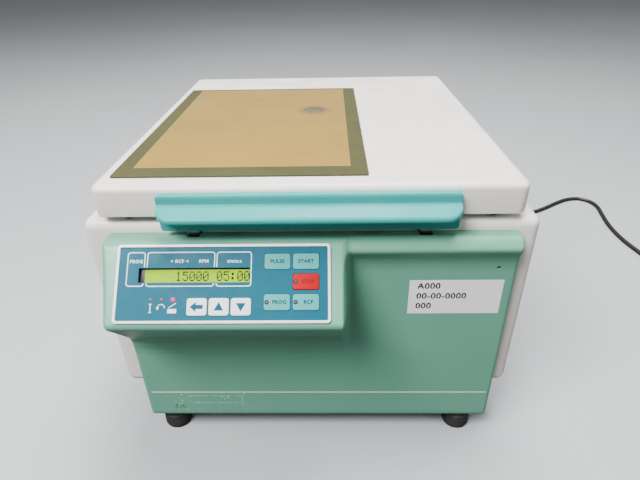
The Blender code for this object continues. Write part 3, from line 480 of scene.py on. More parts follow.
def box(low, high, radius=0.0, steps=4, test=None):
    """A box between two corners, with its edges (those that pass test) rounded over."""
    low, high = Vector(low), Vector(high)
    shape = bmesh.new()
    bmesh.ops.create_cube(shape, size=1.0)
    for point in shape.verts:
        point.co = Vector(((low + high) / 2)[i] + point.co[i] * (high - low)[i] for i in range(3))
    if radius:
        edges = [e for e in shape.edges if test is None or test(e)]
        bmesh.ops.bevel(shape, geom=edges, offset=radius, segments=steps, profile=0.5,
                        affect="EDGES", clamp_overlap=True)
    return to_mesh(shape)


def upright(edge):
    return abs((edge.verts[1].co - edge.verts[0].co).normalized().z) > 0.99


def lathe(profile, steps=64, closed=False):
    """Turn (radius, height) points about Z."""
    shape = bmesh.new()
    rings = []
    for radius, height in profile:
        if radius == 0:
            rings.append([shape.verts.new((0, 0, height))])
            continue
        rings.append([shape.verts.new((radius * math.cos(2 * math.pi * i / steps),
                                       radius * math.sin(2 * math.pi * i / steps), height))
                      for i in range(steps)])
    pairs = list(zip(rings, rings[1:]))
    if closed:
        pairs.append((rings[-1], rings[0]))
    for low, high in pairs:
        for i in range(steps):
            j = (i + 1) % steps
            corners = [low[i % len(low)], low[j % len(low)], high[j % len(high)], high[i % len(high)]]
            unique = list(dict.fromkeys(corners))
            if len(unique) > 2:
                shape.faces.new(unique)
    return to_mesh(shape)


def rod(radius, low, high, steps):
    return lathe([(0, low), (radius, low), (radius, high), (0, high)], steps)


def softened(points, radius, steps=3, closed=True):
    """The corners of an outline rounded over, each as far as its sides allow."""
    made, count = [], len(points)
    for i, here in enumerate(points):
        if not closed and i in (0, count - 1):
            made.append(tuple(here))
            continue
        here, before, after = Vector(here), Vector(points[i - 1]), Vector(points[(i + 1) % count])
        first, second = before - here, after - here
        size = min(radius, first.length * 0.45, second.length * 0.45)
        start, end = here + first.normalized() * size, here + second.normalized() * size
        for k in range(steps + 1):
            t = k / steps
            made.append(tuple(start.lerp(here, t).lerp(here.lerp(end, t), t)))
    return made


def arc(cx, cy, radius, start, end, steps):
    return [(cx + radius * math.cos(math.radians(start + (end - start) * i / steps)),
             cy + radius * math.sin(math.radians(start + (end - start) * i / steps)))
            for i in range(steps + 1)]


def rounded(width, height, radius, x=0.0, y=0.0, steps=6):
    """A rectangle with round corners about (x, y), counter-clockwise."""
    dx, dy = width / 2 - radius, height / 2 - radius
    points = []
    for sx, sy, start in ((1, 1, 0), (-1, 1, 90), (-1, -1, 180), (1, -1, 270)):
        points += arc(x + sx * dx, y + sy * dy, radius, start, start + 90, steps)
    return points


def circle(radius, x=0.0, y=0.0, steps=48):
    return arc(x, y, radius, 0, 360 * (steps - 1) / steps, steps - 1)


def plate(loops, thickness, edge=0.0, steps=2):
    """Flat outlines extruded about z = 0; the first is the rim and the others are holes."""
    curve = bpy.data.curves.new("outline", "CURVE")
    curve.dimensions, curve.fill_mode = "2D", "BOTH"
    curve.extrude = thickness / 2 - edge
    curve.bevel_depth, curve.bevel_resolution, curve.offset = edge, steps, -edge
    for number, loop in enumerate(loops):
        spline = curve.splines.new("POLY")
        spline.points.add(len(loop) - 1)
        for point, (x, y) in zip(spline.points, loop if number == 0 else loop[::-1]):
            point.co = (x, y, 0.0, 1.0)
        spline.use_cyclic_u = True
    mesh = evaluated(temporary("outline", curve))
    shape = bmesh.new()
    shape.from_mesh(mesh)
    bmesh.ops.remove_doubles(shape, verts=shape.verts, dist=0.000002)
    return to_mesh(shape)


CAPITAL_SHARE = 0.69              # how high a capital of the plain font is, in text sizes


def lettering(text, height, thickness=0.00006, bold=0.0, spacing=1.0):
    """Plain text in local XY, centred, with capitals of the given height."""
    curve = bpy.data.curves.new("text", "FONT")
    curve.body, curve.size = text, height / CAPITAL_SHARE
    curve.align_x, curve.align_y = "CENTER", "CENTER"
    curve.extrude, curve.offset, curve.space_character = thickness / 2, bold, spacing
    curve.resolution_u = 4
    return evaluated(temporary("text", curve))


def carved(mesh, cutters, operation="DIFFERENCE"):
    """The mesh after an exact boolean with each cutter."""
    item = temporary("carved", mesh)
    others = []
    for mesh_of_cutter in cutters:
        other = temporary("cutter", mesh_of_cutter)
        step = item.modifiers.new("cut", "BOOLEAN")
        step.operation, step.solver, step.object = operation, "EXACT", other
        others.append(other)
    made = evaluated(item)
    for other in others:
        bpy.data.objects.remove(other, do_unlink=True)
    return made


def piece(name, items, body, stands_for=(), home=HOME, sharp=35.0):
    """One named piece, from (mesh, material) items, that rides on a body."""
    shape, finishes = bmesh.new(), []
    for mesh, finish in items:
        if finish not in finishes:
            finishes.append(finish)
        count = len(shape.faces)
        shape.from_mesh(mesh)
        shape.faces.ensure_lookup_table()
        for face in shape.faces[count:]:
            face.material_index = finishes.index(finish)
    mesh = bpy.data.meshes.new(name)
    shape.to_mesh(mesh)
    shape.free()
    mesh.transform(home)
    for finish in finishes:
        mesh.materials.append(finish)
    mesh.shade_smooth()
    mesh.set_sharp_from_angle(angle=math.radians(sharp))
    item = bpy.data.objects.new(name, mesh)
    bpy.context.scene.collection.objects.link(item)
    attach(item, body)
    if stands_for:
        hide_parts(*stands_for)
    return item


def up(z):
    return Matrix.Translation((0, 0, z))


def at(x, y, z=0.0):
    return Matrix.Translation((x, y, z))


def corners(name):
    """The corners of a CAD node's box, measured as positions are written here."""
    low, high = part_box(name)
    return low - HOME.translation, high - HOME.translation


def turn(degrees, axis):
    return Matrix.Rotation(math.radians(degrees), 4, axis)


# ---------------------------------------------------------------- mains cord
CORD_RADIUS = 0.0035
CORD_ROUTE = [                    # from the connector to the coil
    (0.138, 0.5063, 0.1040), (0.138, 0.5200, 0.1036), (0.1395, 0.5400, 0.0985),
    (0.146, 0.5580, 0.0830), (0.158, 0.5688, 0.0590), (0.175, 0.5726, 0.0345),
    (0.198, 0.5697, 0.0150), (0.226, 0.5600, 0.0052), (0.255, 0.5460, 0.0037),
    (0.290, 0.5260, 0.0037), (0.325, 0.5080, 0.0037), (0.360, 0.4960, 0.0037),
    (0.392, 0.4930, 0.0037), (0.422, 0.4985, 0.0037), (0.452, 0.5160, 0.0037),
    (0.479, 0.5350, 0.0037), (0.506, 0.5510, 0.0037), (0.532, 0.5560, 0.0037),
    (0.551, 0.5430, 0.0037), (0.556, 0.5180, 0.0037), (0.550, 0.4860, 0.0037),
    (0.543, 0.4500, 0.0037), (0.540, 0.4150, 0.0037), (0.541, 0.3800, 0.0037),
    (0.5465, 0.3440, 0.0037), (0.5516, 0.3105, 0.0037),
]
COIL_AT = (0.599, 0.290)
OUTER_TURN, INNER_TURN = 0.0437, 0.0363
LOW_TURN, HIGH_TURN = 0.0037, 0.0107
PLUG_AT = (0.6427, 0.352, 0.0190)


def coil_points():
    """Two turns on the table, most of two on top of them, and the rise to the plug."""
    per_turn = 28
    stops = [(190, OUTER_TURN, LOW_TURN), (475, OUTER_TURN, LOW_TURN),
             (550, INNER_TURN, LOW_TURN), (850, INNER_TURN, LOW_TURN),
             (905, INNER_TURN, HIGH_TURN), (1190, INNER_TURN, HIGH_TURN),
             (1265, OUTER_TURN, HIGH_TURN), (1340, OUTER_TURN, HIGH_TURN),
             (1440, OUTER_TURN, PLUG_AT[2] - 0.0010)]
    points, count = [], round((stops[-1][0] - stops[0][0]) / 360 * per_turn)
    for i in range(count + 1):
        angle = stops[0][0] + (stops[-1][0] - stops[0][0]) * i / count
        for (a, r0, z0), (b, r1, z1) in zip(stops, stops[1:]):
            if a <= angle <= b:
                t = (angle - a) / (b - a)
                t = t * t * (3 - 2 * t)
                radius, height = r0 + (r1 - r0) * t, z0 + (z1 - z0) * t
        points.append((COIL_AT[0] + radius * math.cos(math.radians(angle)),
                       COIL_AT[1] + radius * math.sin(math.radians(angle)), height))
    return points


def smooth_line(points):
    """Points on a Catmull-Rom curve through the given ones."""
    ends = [points[0]] + list(points) + [points[-1]]
    made, pieces = [], 6
    for i in range(1, len(ends) - 2):
        p0, p1, p2, p3 = (Vector(p) for p in ends[i - 1:i + 3])
        for k in range(pieces):
            t = k / pieces
            made.append(0.5 * (2 * p1 + (p2 - p0) * t + (2 * p0 - 5 * p1 + 4 * p2 - p3) * t * t
                               + (3 * p1 - p0 - 3 * p2 + p3) * t ** 3))
    return made + [Vector(points[-1])]


def line_tube(name, points, radius, finish, body, resolution=6):
    curve = bpy.data.curves.new(name, "CURVE")
    curve.dimensions = "3D"
    curve.bevel_depth, curve.bevel_resolution, curve.use_fill_caps = radius, resolution, True
    spline = curve.splines.new("POLY")
    spline.points.add(len(points) - 1)
    for point, place in zip(spline.points, points):
        point.co = (*(HOME @ Vector(place)), 1.0)
    spline.use_smooth = True
    curve.materials.append(finish)
    item = temporary(name, curve)
    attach(item, body)
    return item


def ridges(count, start, step, radius, taper, depth):
    """Outline of a ribbed sleeve that grows thinner; a negative step goes down."""
    points, way = [], math.copysign(1, step)
    for i in range(count):
        near, out = start + step * i, radius - taper * i
        points += [(out, near), (out - depth, near + way * 0.0008),
                   (out - depth, near + way * 0.0018), (out - 0.0002, near + way * 0.0026)]
    return points


def connector_head():
    """Moulded appliance connector with finger ridges and a slotted strain relief."""
    low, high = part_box("appliance_connector")
    x, z = (low.x + high.x) / 2, (low.z + high.z) / 2
    shoulder, nose = 0.4545, 0.4390
    block = box((-0.0140, shoulder, -0.0105), (0.0140, 0.4780, 0.0105), 0.0035, 5)
    tongue = box((-0.0117, nose, -0.0082), (0.0117, shoulder + 0.006, 0.0082), 0.0012, 2)
    items = [block, tongue]
    for i in range(5):
        y = 0.4590 + 0.0030 * i
        items.append(box((-0.0140, y, -0.0075), (0.0140, y + 0.0012, 0.0075), 0.0004, 2))
    profile = ([(0.0, 0.0), (0.0068, 0.0)] + ridges(7, 0.004, 0.0040, 0.0066, 0.00028, 0.0009)
               + [(0.0046, 0.0335), (0.0040, 0.0340), (0.0, 0.0340)])
    relief = moved(lathe(profile, 32), at(0, 0.472, 0) @ turn(-90, "X"))
    items.append(relief)
    place = at(x, 0, z)
    return piece("connector_moulding", [(moved(m, place), Finish.black) for m in items], "machine",
                 ("appliance_connector",))


def plug_head():
    """Round earthed plug: ridged grip, flat face, two pins and side earth strips."""
    body = [(0, 0.018), (0.0138, 0.018), (0.0152, 0.0172), (0.0156, 0.0162), (0.0162, 0.0160),
            (0.0176, 0.0158), (0.0184, 0.0148), (0.0185, 0.0110), (0.0185, 0.0000),
            (0.0176, -0.0045), (0.0150, -0.0140), (0.0112, -0.0182), (0.0074, -0.0200)]
    body += ridges(6, -0.0212, -0.0039, 0.0072, 0.00046, 0.0008)
    body += [(0.0044, -0.0452), (0.0040, -0.0460), (0, -0.0460)]
    items = [(lathe(body, 48), Finish.black)]
    for i in range(18):
        a = math.radians(20 * i)
        rib = box((0.0176, -0.0008, 0.0012), (0.0184, 0.0008, 0.0128), 0.0003, 2)
        items.append((moved(rib, Matrix.Rotation(a, 4, "Z")), Finish.black))
    pin = lathe([(0, 0.0370), (0.0014, 0.0370), (0.0021, 0.0362), (0.0024, 0.0350),
                 (0.0024, 0.0160), (0, 0.0160)], 24)
    for side in (-1, 1):
        items.append((moved(pin.copy(), at(side * 0.0095, 0)), Finish.steel))
        strip = box((-0.0022, side * 0.0160 - 0.0006, 0.0030), (0.0022, side * 0.0160 + 0.0006, 0.0176),
                    0.0003, 2)
        items.append((strip, Finish.steel))
    return piece("plug_moulding", items, "machine", ("mains_plug",),
                 home=HOME @ at(*PLUG_AT) @ turn(-90, "X"))


def coil_tie():
    """Hook-and-loop strap round the turns of the coil."""
    outer = rounded(0.0158, 0.0148, 0.0035, steps=5)
    inner = rounded(0.0146, 0.0136, 0.0030, steps=5)
    band = moved(plate([outer, inner], 0.009, 0.0002), turn(90, "X"))
    tail = box((0.0068, -0.0045, -0.0010), (0.0078, 0.0045, 0.0060), 0.0003, 2)
    middle = (OUTER_TURN + INNER_TURN) / 2
    place = at(*COIL_AT, 0.0074) @ turn(250, "Z") @ at(middle, 0)
    return piece("coil_tie", [(moved(m, place), Finish.rubber) for m in (band, tail)], "machine")


def mains_cord():
    line = smooth_line(CORD_ROUTE + coil_points() + [(PLUG_AT[0], 0.3085, PLUG_AT[2])])
    cord = line_tube("mains_cord", line, CORD_RADIUS, Finish.jacket, "machine")
    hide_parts("power_cord", "power_cord_coil")
    connector_head()
    plug_head()
    coil_tie()


# ---------------------------------------------------------------- casing and lid
WALL = 0.003                      # thickness of the casing and the lid


def shell(low, high, corner, top, bottom):
    """A closed tub with round corners in plan and its own rounding above and below."""
    quarter = [math.pi / 2 * i / 6 for i in range(7)]
    heights = [(low.z + bottom * (1 - math.cos(a)), bottom * (1 - math.sin(a))) for a in quarter]
    heights += [(high.z - top * (1 - math.sin(a)), top * (1 - math.cos(a))) for a in quarter]
    middle, size = (low + high) / 2, high - low
    shape, rings = bmesh.new(), []
    for z, inwards in heights:
        outline = rounded(size.x - 2 * inwards, size.y - 2 * inwards, corner - inwards * 0.8,
                          middle.x, middle.y, 8)
        rings.append([shape.verts.new((x, y, z)) for x, y in outline])
    for below, above in zip(rings, rings[1:]):
        for i, here in enumerate(below):
            j = (i + 1) % len(below)
            shape.faces.new((here, below[j], above[j], above[i]))
    for ring in (rings[0], rings[-1]):
        shape.faces.new(ring)
    return to_mesh(shape)


def casing():
    """Moulded shell with its deck, slots and openings, and soft outer edges."""
    low, high = corners("casing")
    wall = Vector((WALL, WALL, WALL))
    body = box(low, high, 0.009, 7)
    hollow = box(low + wall, high - wall, 0.006, 4)
    holes = [hollow, box((-0.172, 0.006, low.z - 0.01), (0.172, 0.438, low.z + 0.01), 0.006, 4, upright),
             moved(rod(0.160, 0.27, 0.248, 128), at(0, AXIS_Y)),
             box((-0.150, -0.01, 0.110), (0.020, 0.02, 0.215)),
             box((-0.1153, -0.01, 0.2297), (0.1153, 0.02, 0.2466)),
             box((-0.164, 0.43, 0.086), (0.164, 0.46, 0.204)),
             moved(rod(0.0042, -0.02, 0.02, 32),
                   at(0.165, 0, 0.216) @ turn(90, "X"))]
    for side in (-1, 1):
        holes.append(box((side * 0.100 - 0.0064, -0.01, 0.2297), (side * 0.100 + 0.0064, 0.02, 0.2493)))
        holes.append(box((side * 0.122 - 0.013, 0.412, 0.24), (side * 0.122 + 0.013, 0.4445, 0.27),
                         0.002, 3, upright))
    piece("casing_moulding", [(carved(body, holes), Finish.white)], "machine",
          ("casing",), sharp=50)


def lid():
    """Lid moulding with soft top edges, and its hollow underside."""
    low, high = corners("lid_shell")
    body = shell(low, high, 0.0090, 0.0055, 0.0012)
    inner = Vector((WALL, WALL, WALL))
    hollow = shell(low + inner - Vector((0, 0, 0.02)), high - inner, 0.0065, 0.0040, 0.0012)
    window = moved(rod(0.0125, 0.30, 0.27, 48), at(0, AXIS_Y))
    size = high - low
    front = plate([rounded(size.x + 0.0002, size.z + 0.02, 0.0070, 0.0, 0.01, 8)], size.y + 0.02)
    middle = (low + high) / 2
    body = carved(body, [moved(front, at(middle.x, middle.y, middle.z) @ turn(90, "X"))], "INTERSECT")
    piece("lid_moulding", [(carved(body, [hollow, window]), Finish.white)], "lid",
          ("lid_shell",), sharp=50)


def lid_plate():
    """Laminated sheet on the lid: olive border, amber pane and the viewport under it."""
    low, high = corners("lid_top_plate")
    middle, size = (low + high) / 2, high - low
    pane_low, pane_high = Vector((-0.158, 0.036)), Vector((0.0365, 0.316))
    pane_size, pane_at = pane_high - pane_low, (pane_low + pane_high) / 2
    thick = size.z
    rim = plate([rounded(size.x, size.y, 0.0018), rounded(pane_size.x, pane_size.y, 0.0006,
                pane_at.x - middle.x, pane_at.y - middle.y, 2)], thick, 0.00025)
    port = (0.0 - pane_at.x, AXIS_Y - pane_at.y)
    pane = plate([rounded(pane_size.x - 0.0001, pane_size.y - 0.0001, 0.0006, steps=2),
                  circle(0.0124, *port, 64)], thick - 0.00012, 0.0)
    lens = plate([circle(0.0123, 0, 0, 64)], thick - 0.00018, 0.0001)
    piece("lid_sheet", [
        (moved(rim, at(middle.x, middle.y, middle.z)), Finish.olive),
        (moved(pane, at(pane_at.x, pane_at.y, middle.z - 0.00006)), Finish.tan),
        (moved(lens, at(0, AXIS_Y, middle.z - 0.00009)), Finish.smoked)],
        "lid", ("lid_top_plate",))


# ---------------------------------------------------------------- front panel
PANEL_LEFT, PANEL_RIGHT = -0.1790, 0.1825
PANEL_BOTTOM, PANEL_TOP = 0.0268, 0.2471
CORNER = 0.0028
LIP = (0.0606, 0.1939, 0.0050)    # depth, height and radius of the pod's front edge
PLAIN = [(0.0268, 0.0132), (0.0310, 0.0135), (0.1200, 0.0135), (0.2150, 0.0122), (0.2215, 0.0129),
         (0.2270, 0.0144), (0.2312, 0.0166), (0.2345, 0.0188), (0.2368, 0.0198), (0.2388, 0.0199),
         (0.2420, 0.0176), (0.2467, 0.0120), (0.2471, 0.0116)]
POD = ([(0.0268, 0.0132), (0.0310, 0.0135), (0.1160, 0.0135), (0.1230, 0.0140), (0.1345, 0.0162),
        (0.1430, 0.0208)]
       + [(LIP[1] + LIP[2] * math.sin(math.radians(a)), LIP[0] + LIP[2] * math.cos(math.radians(a)))
          for a in range(-42, 44, 17)]
       + [(0.2462, 0.0187), (0.2469, 0.0163), (0.2471, 0.0150)])
POD_FADE = (0.0270, 0.0366)       # from the pod's front edge to the foot of its right wall
KEYPAD_HOLE = ((-0.1571, 0.0149), (0.2008, 0.2424))


def level(table, z, reach):
    """The table's value at z, averaged over a short reach."""
    total, count = 0.0, 9
    for i in range(count):
        here = min(max(z + reach * (2 * i / (count - 1) - 1), table[0][0]), table[-1][0])
        for (z0, d0), (z1, d1) in zip(table, table[1:]):
            if here <= z1:
                total += d0 + (d1 - d0) * (here - z0) / (z1 - z0)
                break
    return total / count


def pod_share(x):
    t = min(max((POD_FADE[1] - x) / (POD_FADE[1] - POD_FADE[0]), 0.0), 1.0)
    return t ** 3 * (t * (6 * t - 15) + 10)


def inset(x, z):
    """How far a point of the front lies inside its rounded outline."""
    dx = abs(x - (PANEL_LEFT + PANEL_RIGHT) / 2) - (PANEL_RIGHT - PANEL_LEFT) / 2 + CORNER
    dz = abs(z - (PANEL_BOTTOM + PANEL_TOP) / 2) - (PANEL_TOP - PANEL_BOTTOM) / 2 + CORNER
    return CORNER - math.hypot(max(dx, 0), max(dz, 0)) - min(max(dx, dz), 0)


def front_y(x, z, levels=None):
    """Where the front panel's skin lies, as y."""
    plain, pod = levels or (level(PLAIN, z, 0.0014), level(POD, z, 0.0008))
    share = pod_share(x)
    depth = plain + share * (pod - plain)
    edge = 0.0038 + 0.0020 * share * min(1.0, max(0.0, (pod - 0.02) / 0.02))
    near = max(inset(x, z), 0.0)
    if near < edge:
        depth -= edge - math.sqrt(edge ** 2 - (edge - near) ** 2)
    return -max(depth, 0.0005)


DRAFT_FROM, DRAFT_REACH = 0.004, 0.030      # where it starts, in depth and from each end


def draft(x, depth):
    """How far the skin is moved inwards near the panel's ends: more where it stands out more."""
    left = max(0.0, 1 - (x - PANEL_LEFT) / DRAFT_REACH)
    right = max(0.0, 1 - (PANEL_RIGHT - x) / DRAFT_REACH)
    proud = max(0.0, depth - DRAFT_FROM)
    return left * 0.0095 * (proud / (LIP[0] - DRAFT_FROM)) ** 0.75 - right * 0.10 * proud


def spaced(low, high, step):
    count = max(1, round((high - low) / step))
    return [low + (high - low) * i / count for i in range(count)]


def eased(start, end, steps):
    """Values from an edge inwards, close together at the edge."""
    return [start + (end - start) * (1 - math.cos(math.pi / 2 * i / steps)) for i in range(steps)]


def front_panel():
    """One moulded skin: plain panel, ridge, and the pod that grows out of its left half."""
    columns = (eased(PANEL_LEFT, PANEL_LEFT + 0.009, 12) + spaced(-0.170, KEYPAD_HOLE[0][0], 0.003)
               + spaced(*KEYPAD_HOLE[0], 0.0031) + spaced(KEYPAD_HOLE[0][1], 0.0255, 0.0026)
               + spaced(0.0255, 0.0380, 0.0004) + spaced(0.0380, 0.165, 0.0035)
               + spaced(0.165, 0.176, 0.0014)
               + eased(PANEL_RIGHT, PANEL_RIGHT - 0.0065, 9)[::-1])
    rows = (eased(PANEL_BOTTOM, PANEL_BOTTOM + CORNER, 12) + spaced(PANEL_BOTTOM + CORNER, 0.113, 0.003)
            + spaced(0.113, 0.188, 0.0012) + spaced(0.188, 0.199, 0.0006)
            + spaced(0.199, PANEL_TOP - CORNER, 0.0009)
            + eased(PANEL_TOP, PANEL_TOP - CORNER, 14)[::-1])
    width = PANEL_RIGHT - PANEL_LEFT
    shape, grid = bmesh.new(), []
    for z in rows:
        near = min(z - PANEL_BOTTOM, PANEL_TOP - z, CORNER)
        cut = CORNER - math.sqrt(max(CORNER ** 2 - (CORNER - near) ** 2, 0.0))
        levels = (level(PLAIN, z, 0.0014), level(POD, z, 0.0008))
        line = []
        for column in columns:
            x = PANEL_LEFT + cut + (column - PANEL_LEFT) * (width - 2 * cut) / width
            y = front_y(x, z, levels)
            line.append(shape.verts.new((x + draft(x, -y), y, z)))
        grid.append(line)
    for low, high in zip(grid, grid[1:]):
        for i in range(len(columns) - 1):
            shape.faces.new((low[i], low[i + 1], high[i + 1], high[i]))
    rim = [e for e in shape.edges if e.is_boundary]
    wall = bmesh.ops.extrude_edge_only(shape, edges=rim)
    for point in (v for v in wall["geom"] if isinstance(v, bmesh.types.BMVert)):
        point.co.y = -0.0003
    (left, right), (bottom, top) = KEYPAD_HOLE
    inside = [f for f in shape.faces if left < f.calc_center_median().x < right
              and bottom < f.calc_center_median().z < top]
    bmesh.ops.delete(shape, geom=inside, context="FACES")
    item = temporary("skin", to_mesh(shape))
    wall = item.modifiers.new("wall", "SOLIDIFY")
    wall.thickness, wall.offset = 0.0020, -1.0
    skin = evaluated(item)
    holes = [moved(rod(0.0017, -0.02, 0.02, 32),
                   at(0.165, -0.012, 0.216) @ turn(90, "X"))]
    for side in (-1, 1):
        holes.append(box((side * 0.100 - 0.0055, -0.0084, 0.2435), (side * 0.100 + 0.0055, 0.01, 0.26),
                         0.0008, 2, upright))
    piece("front_moulding", [(carved(skin, holes), Finish.green)], "machine",
          ("front_panel",), sharp=60)


def draped(low, high, lift, columns=40, rows=6):
    """A thin sheet that follows the front panel between two (x, z) corners."""
    shape, grid = bmesh.new(), []
    for layer in (lift, 0.0):
        grid.append([[shape.verts.new((x, front_y(x, z) - layer, z))
                      for x in (low[0] + (high[0] - low[0]) * i / columns for i in range(columns + 1))]
                     for z in (low[1] + (high[1] - low[1]) * j / rows for j in range(rows + 1))])
    outer, inner = grid
    for j in range(rows):
        for i in range(columns):
            shape.faces.new((outer[j][i], outer[j][i + 1], outer[j + 1][i + 1], outer[j + 1][i]))
            shape.faces.new((inner[j][i], inner[j + 1][i], inner[j + 1][i + 1], inner[j][i + 1]))
    rim_of = [[g[0][i] for i in range(columns + 1)] + [g[j][columns] for j in range(1, rows + 1)]
              + [g[rows][i] for i in range(columns - 1, -1, -1)]
              + [g[j][0] for j in range(rows - 1, 0, -1)] for g in (outer, inner)]
    count = len(rim_of[0])
    for i in range(count):
        j = (i + 1) % count
        shape.faces.new((rim_of[0][i], rim_of[0][j], rim_of[1][j], rim_of[1][i]))
    return to_mesh(shape)


def on_panel(mesh, x, z, lift):
    """A flat mesh in local XY, stood up against the plain part of the panel."""
    return moved(mesh, at(x, front_y(x, z) - lift, z) @ turn(90.5, "X"))


def panel_printing():
    """Trim line, and the paper label with its numbers."""
    items = []
    for low, high in ((-0.1705, -0.1240), (-0.1240, 0.0), (0.0, 0.1000), (0.1000, 0.1772)):
        items.append((draped((low, 0.0617), (high, 0.0628), 0.00008, 60, 2), Finish.white_ink))
    piece("trim_line", items, "machine", sharp=60)
    low, high = (0.0885, 0.1660), (0.1720, 0.2030)
    label = [(draped(low, high, 0.00016, 30, 12), Finish.label)]
    height = 0.0062
    for row, text in enumerate(("A000", "00-00-0000", "000")):
        words = lettering(text, height, 0.00004, 0.00026, 1.08)
        width = max(v.co.x for v in words.vertices) - min(v.co.x for v in words.vertices)
        label.append((on_panel(words, low[0] + 0.0070 + width / 2, high[1] - 0.0065 - 0.0110 * row,
                               0.00020), Finish.dark_ink))
    piece("paper_label", label, "machine", sharp=60)


# ---------------------------------------------------------------- keypad
KEYPAD_MIDDLE, KEYPAD_SCALE = (90.0, 34.5), (0.9917, 0.951)


def keypad_x(mm):
    """Local x of a distance across the keypad, whose 180 mm scale starts at its left edge."""
    return (mm - KEYPAD_MIDDLE[0]) * KEYPAD_SCALE[0] * MM


def keypad_y(mm):
    return (KEYPAD_MIDDLE[1] - mm) * KEYPAD_SCALE[1] * MM


KEY_SIZE, ARROW_SIZE = (0.0216, 0.0132), (0.0165, 0.0142)
WINDOW = (-0.0240, 0.0069, 0.0928, 0.0121)      # display window: middle x, y, width, height
FOIL_TOP = 0.0011
KEY_TOP = 0.00155
INK = 0.00006                     # thickness of printed signs
DOT, DOT_HEIGHT, DOT_FILL = 0.00095, 0.00116, 0.98


def printed(mesh, x, y, z=FOIL_TOP):
    return moved(mesh, at(x, y, z))


def frame_line(left, right, top, bottom, gaps=()):
    """A thin rounded frame printed on the foil, without the stretches in gaps."""
    low = Vector((keypad_x(left), keypad_y(bottom)))
    high = Vector((keypad_x(right), keypad_y(top)))
    size, middle = high - low, (low + high) / 2
    line = 0.00078
    mesh = plate([rounded(size.x, size.y, 0.0026, steps=6),
                  rounded(size.x - 2 * line, size.y - 2 * line, 0.0020, steps=6)], INK)
    mesh = printed(mesh, middle.x, middle.y)
    return carved(mesh, [box((a, b, -0.001), (c, d, 0.004)) for a, b, c, d in gaps])


DIGITS = {                         # five dots across and seven down, for each sign
    "0": "01110 10001 10011 10101 11001 10001 01110",
    "1": "00100 01100 00100 00100 00100 00100 01110",
    "5": "11111 10000 11110 00001 00001 10001 01110",
    ":": "00000 01100 01100 00000 01100 01100 00000",
}


def display_text(text, right, middle):
    """Dot-matrix signs that end at right."""
    shape = bmesh.new()
    width = 6 * DOT
    for place, sign in enumerate(text):
        if sign not in DIGITS:
            continue
        left = right - (len(text) - place) * width
        for row, dots in enumerate(DIGITS[sign].split()):
            for column, lit in enumerate(dots):
                if lit == "1":
                    x = left + (column + 0.5) * DOT
                    y = middle + (3 - row) * DOT_HEIGHT
                    bmesh.ops.create_cube(shape, size=1.0, matrix=at(x, y, 0) @ Matrix.Diagonal(
                        (DOT * DOT_FILL, DOT_HEIGHT * DOT_FILL, 0.00008, 1)))
    return to_mesh(shape)


def flat_sign(points):
    return plate([points], INK)


def lamp(radius):
    return lathe([(0, 0.00040), (radius * 0.6, 0.00034), (radius * 0.9, 0.00018), (radius, 0.0),
                  (0, 0.0)], 24)


def keypad():
    foil_size = (0.1733, 0.0604)
    window = WINDOW
    bezel = plate([rounded(0.1785, 0.0656, 0.0030), rounded(0.1739, 0.0610, 0.0014)], 0.0017, 0.00045, 3)
    piece("keypad_frame", [(moved(bezel, up(0.00115)), Finish.bezel)], "machine",
          ("keypad_bezel",), home=KEYPAD)
    keys = [
        ("impulse", "PULSE", 0.0452, 0.0179), ("start", "START", 0.0689, 0.0179),
        ("stop", "STOP", 0.0689, 0.0010), ("program", "PROG", 0.0452, -0.0158),
        ("rcf", "RCF", 0.0689, -0.0158), ("left", None, -0.0204, -0.0193),
        ("up", None, -0.0023, -0.0193), ("down", None, 0.0158, -0.0193)]
    holes = [rounded(window[2], window[3], 0.0007, window[0], window[1], 3)]
    for name, word, x, y in keys:
        width, height = KEY_SIZE if word else ARROW_SIZE
        holes.append(rounded(width + 0.0006, height + 0.0006, 0.0022, x, y, 5))
    foil = plate([rounded(foil_size[0], foil_size[1], 0.0012)] + holes, 0.0008)
    items = [(moved(foil, up(0.0007)), Finish.foil)]
    screen_low = (window[0] - window[2] / 2, window[1] - window[3] / 2)
    screen_high = (window[0] + window[2] / 2, window[1] + window[3] / 2)
    gap = (screen_low[0] - 0.0007, screen_low[1] - 0.0007, screen_high[0] + 0.0003,
           screen_high[1] + 0.0007)
    for left, right, top, bottom in ((8.8, 24.0, 6.6, 37.1), (25.5, 83.1, 6.6, 37.3),
                                     (84.3, 114.0, 6.7, 37.4)):
        items.append((frame_line(left, right, top, bottom, [gap]), Finish.white_ink))
    for word, x, size in (("PROG", 16.5, 2.7), ("> RCF <", 53.2, 2.7), ("RPM", 73.6, 2.8),
                          ("t/min:s", 99.4, 2.7)):
        heading = lettering(word, size * MM, bold=0.00007, spacing=1.12)
        items.append((printed(heading, keypad_x(x), keypad_y(15.1)), Finish.white_ink))
    for x, lit in ((30.6, False), (39.9, False), (49.4, True)):
        items.append((printed(lamp(0.0020 if lit else 0.0016), keypad_x(x), keypad_y(48.6)),
                      Finish.lamp_on if lit else Finish.lamp_off))
    items += [(m, Finish.white_ink) for m in icons()]
    piece("keypad_print", items, "machine", ("keypad_foil",), home=KEYPAD)
    for name, word, x, y in keys:
        key(name, word, x, y)
    display(screen_low, screen_high)


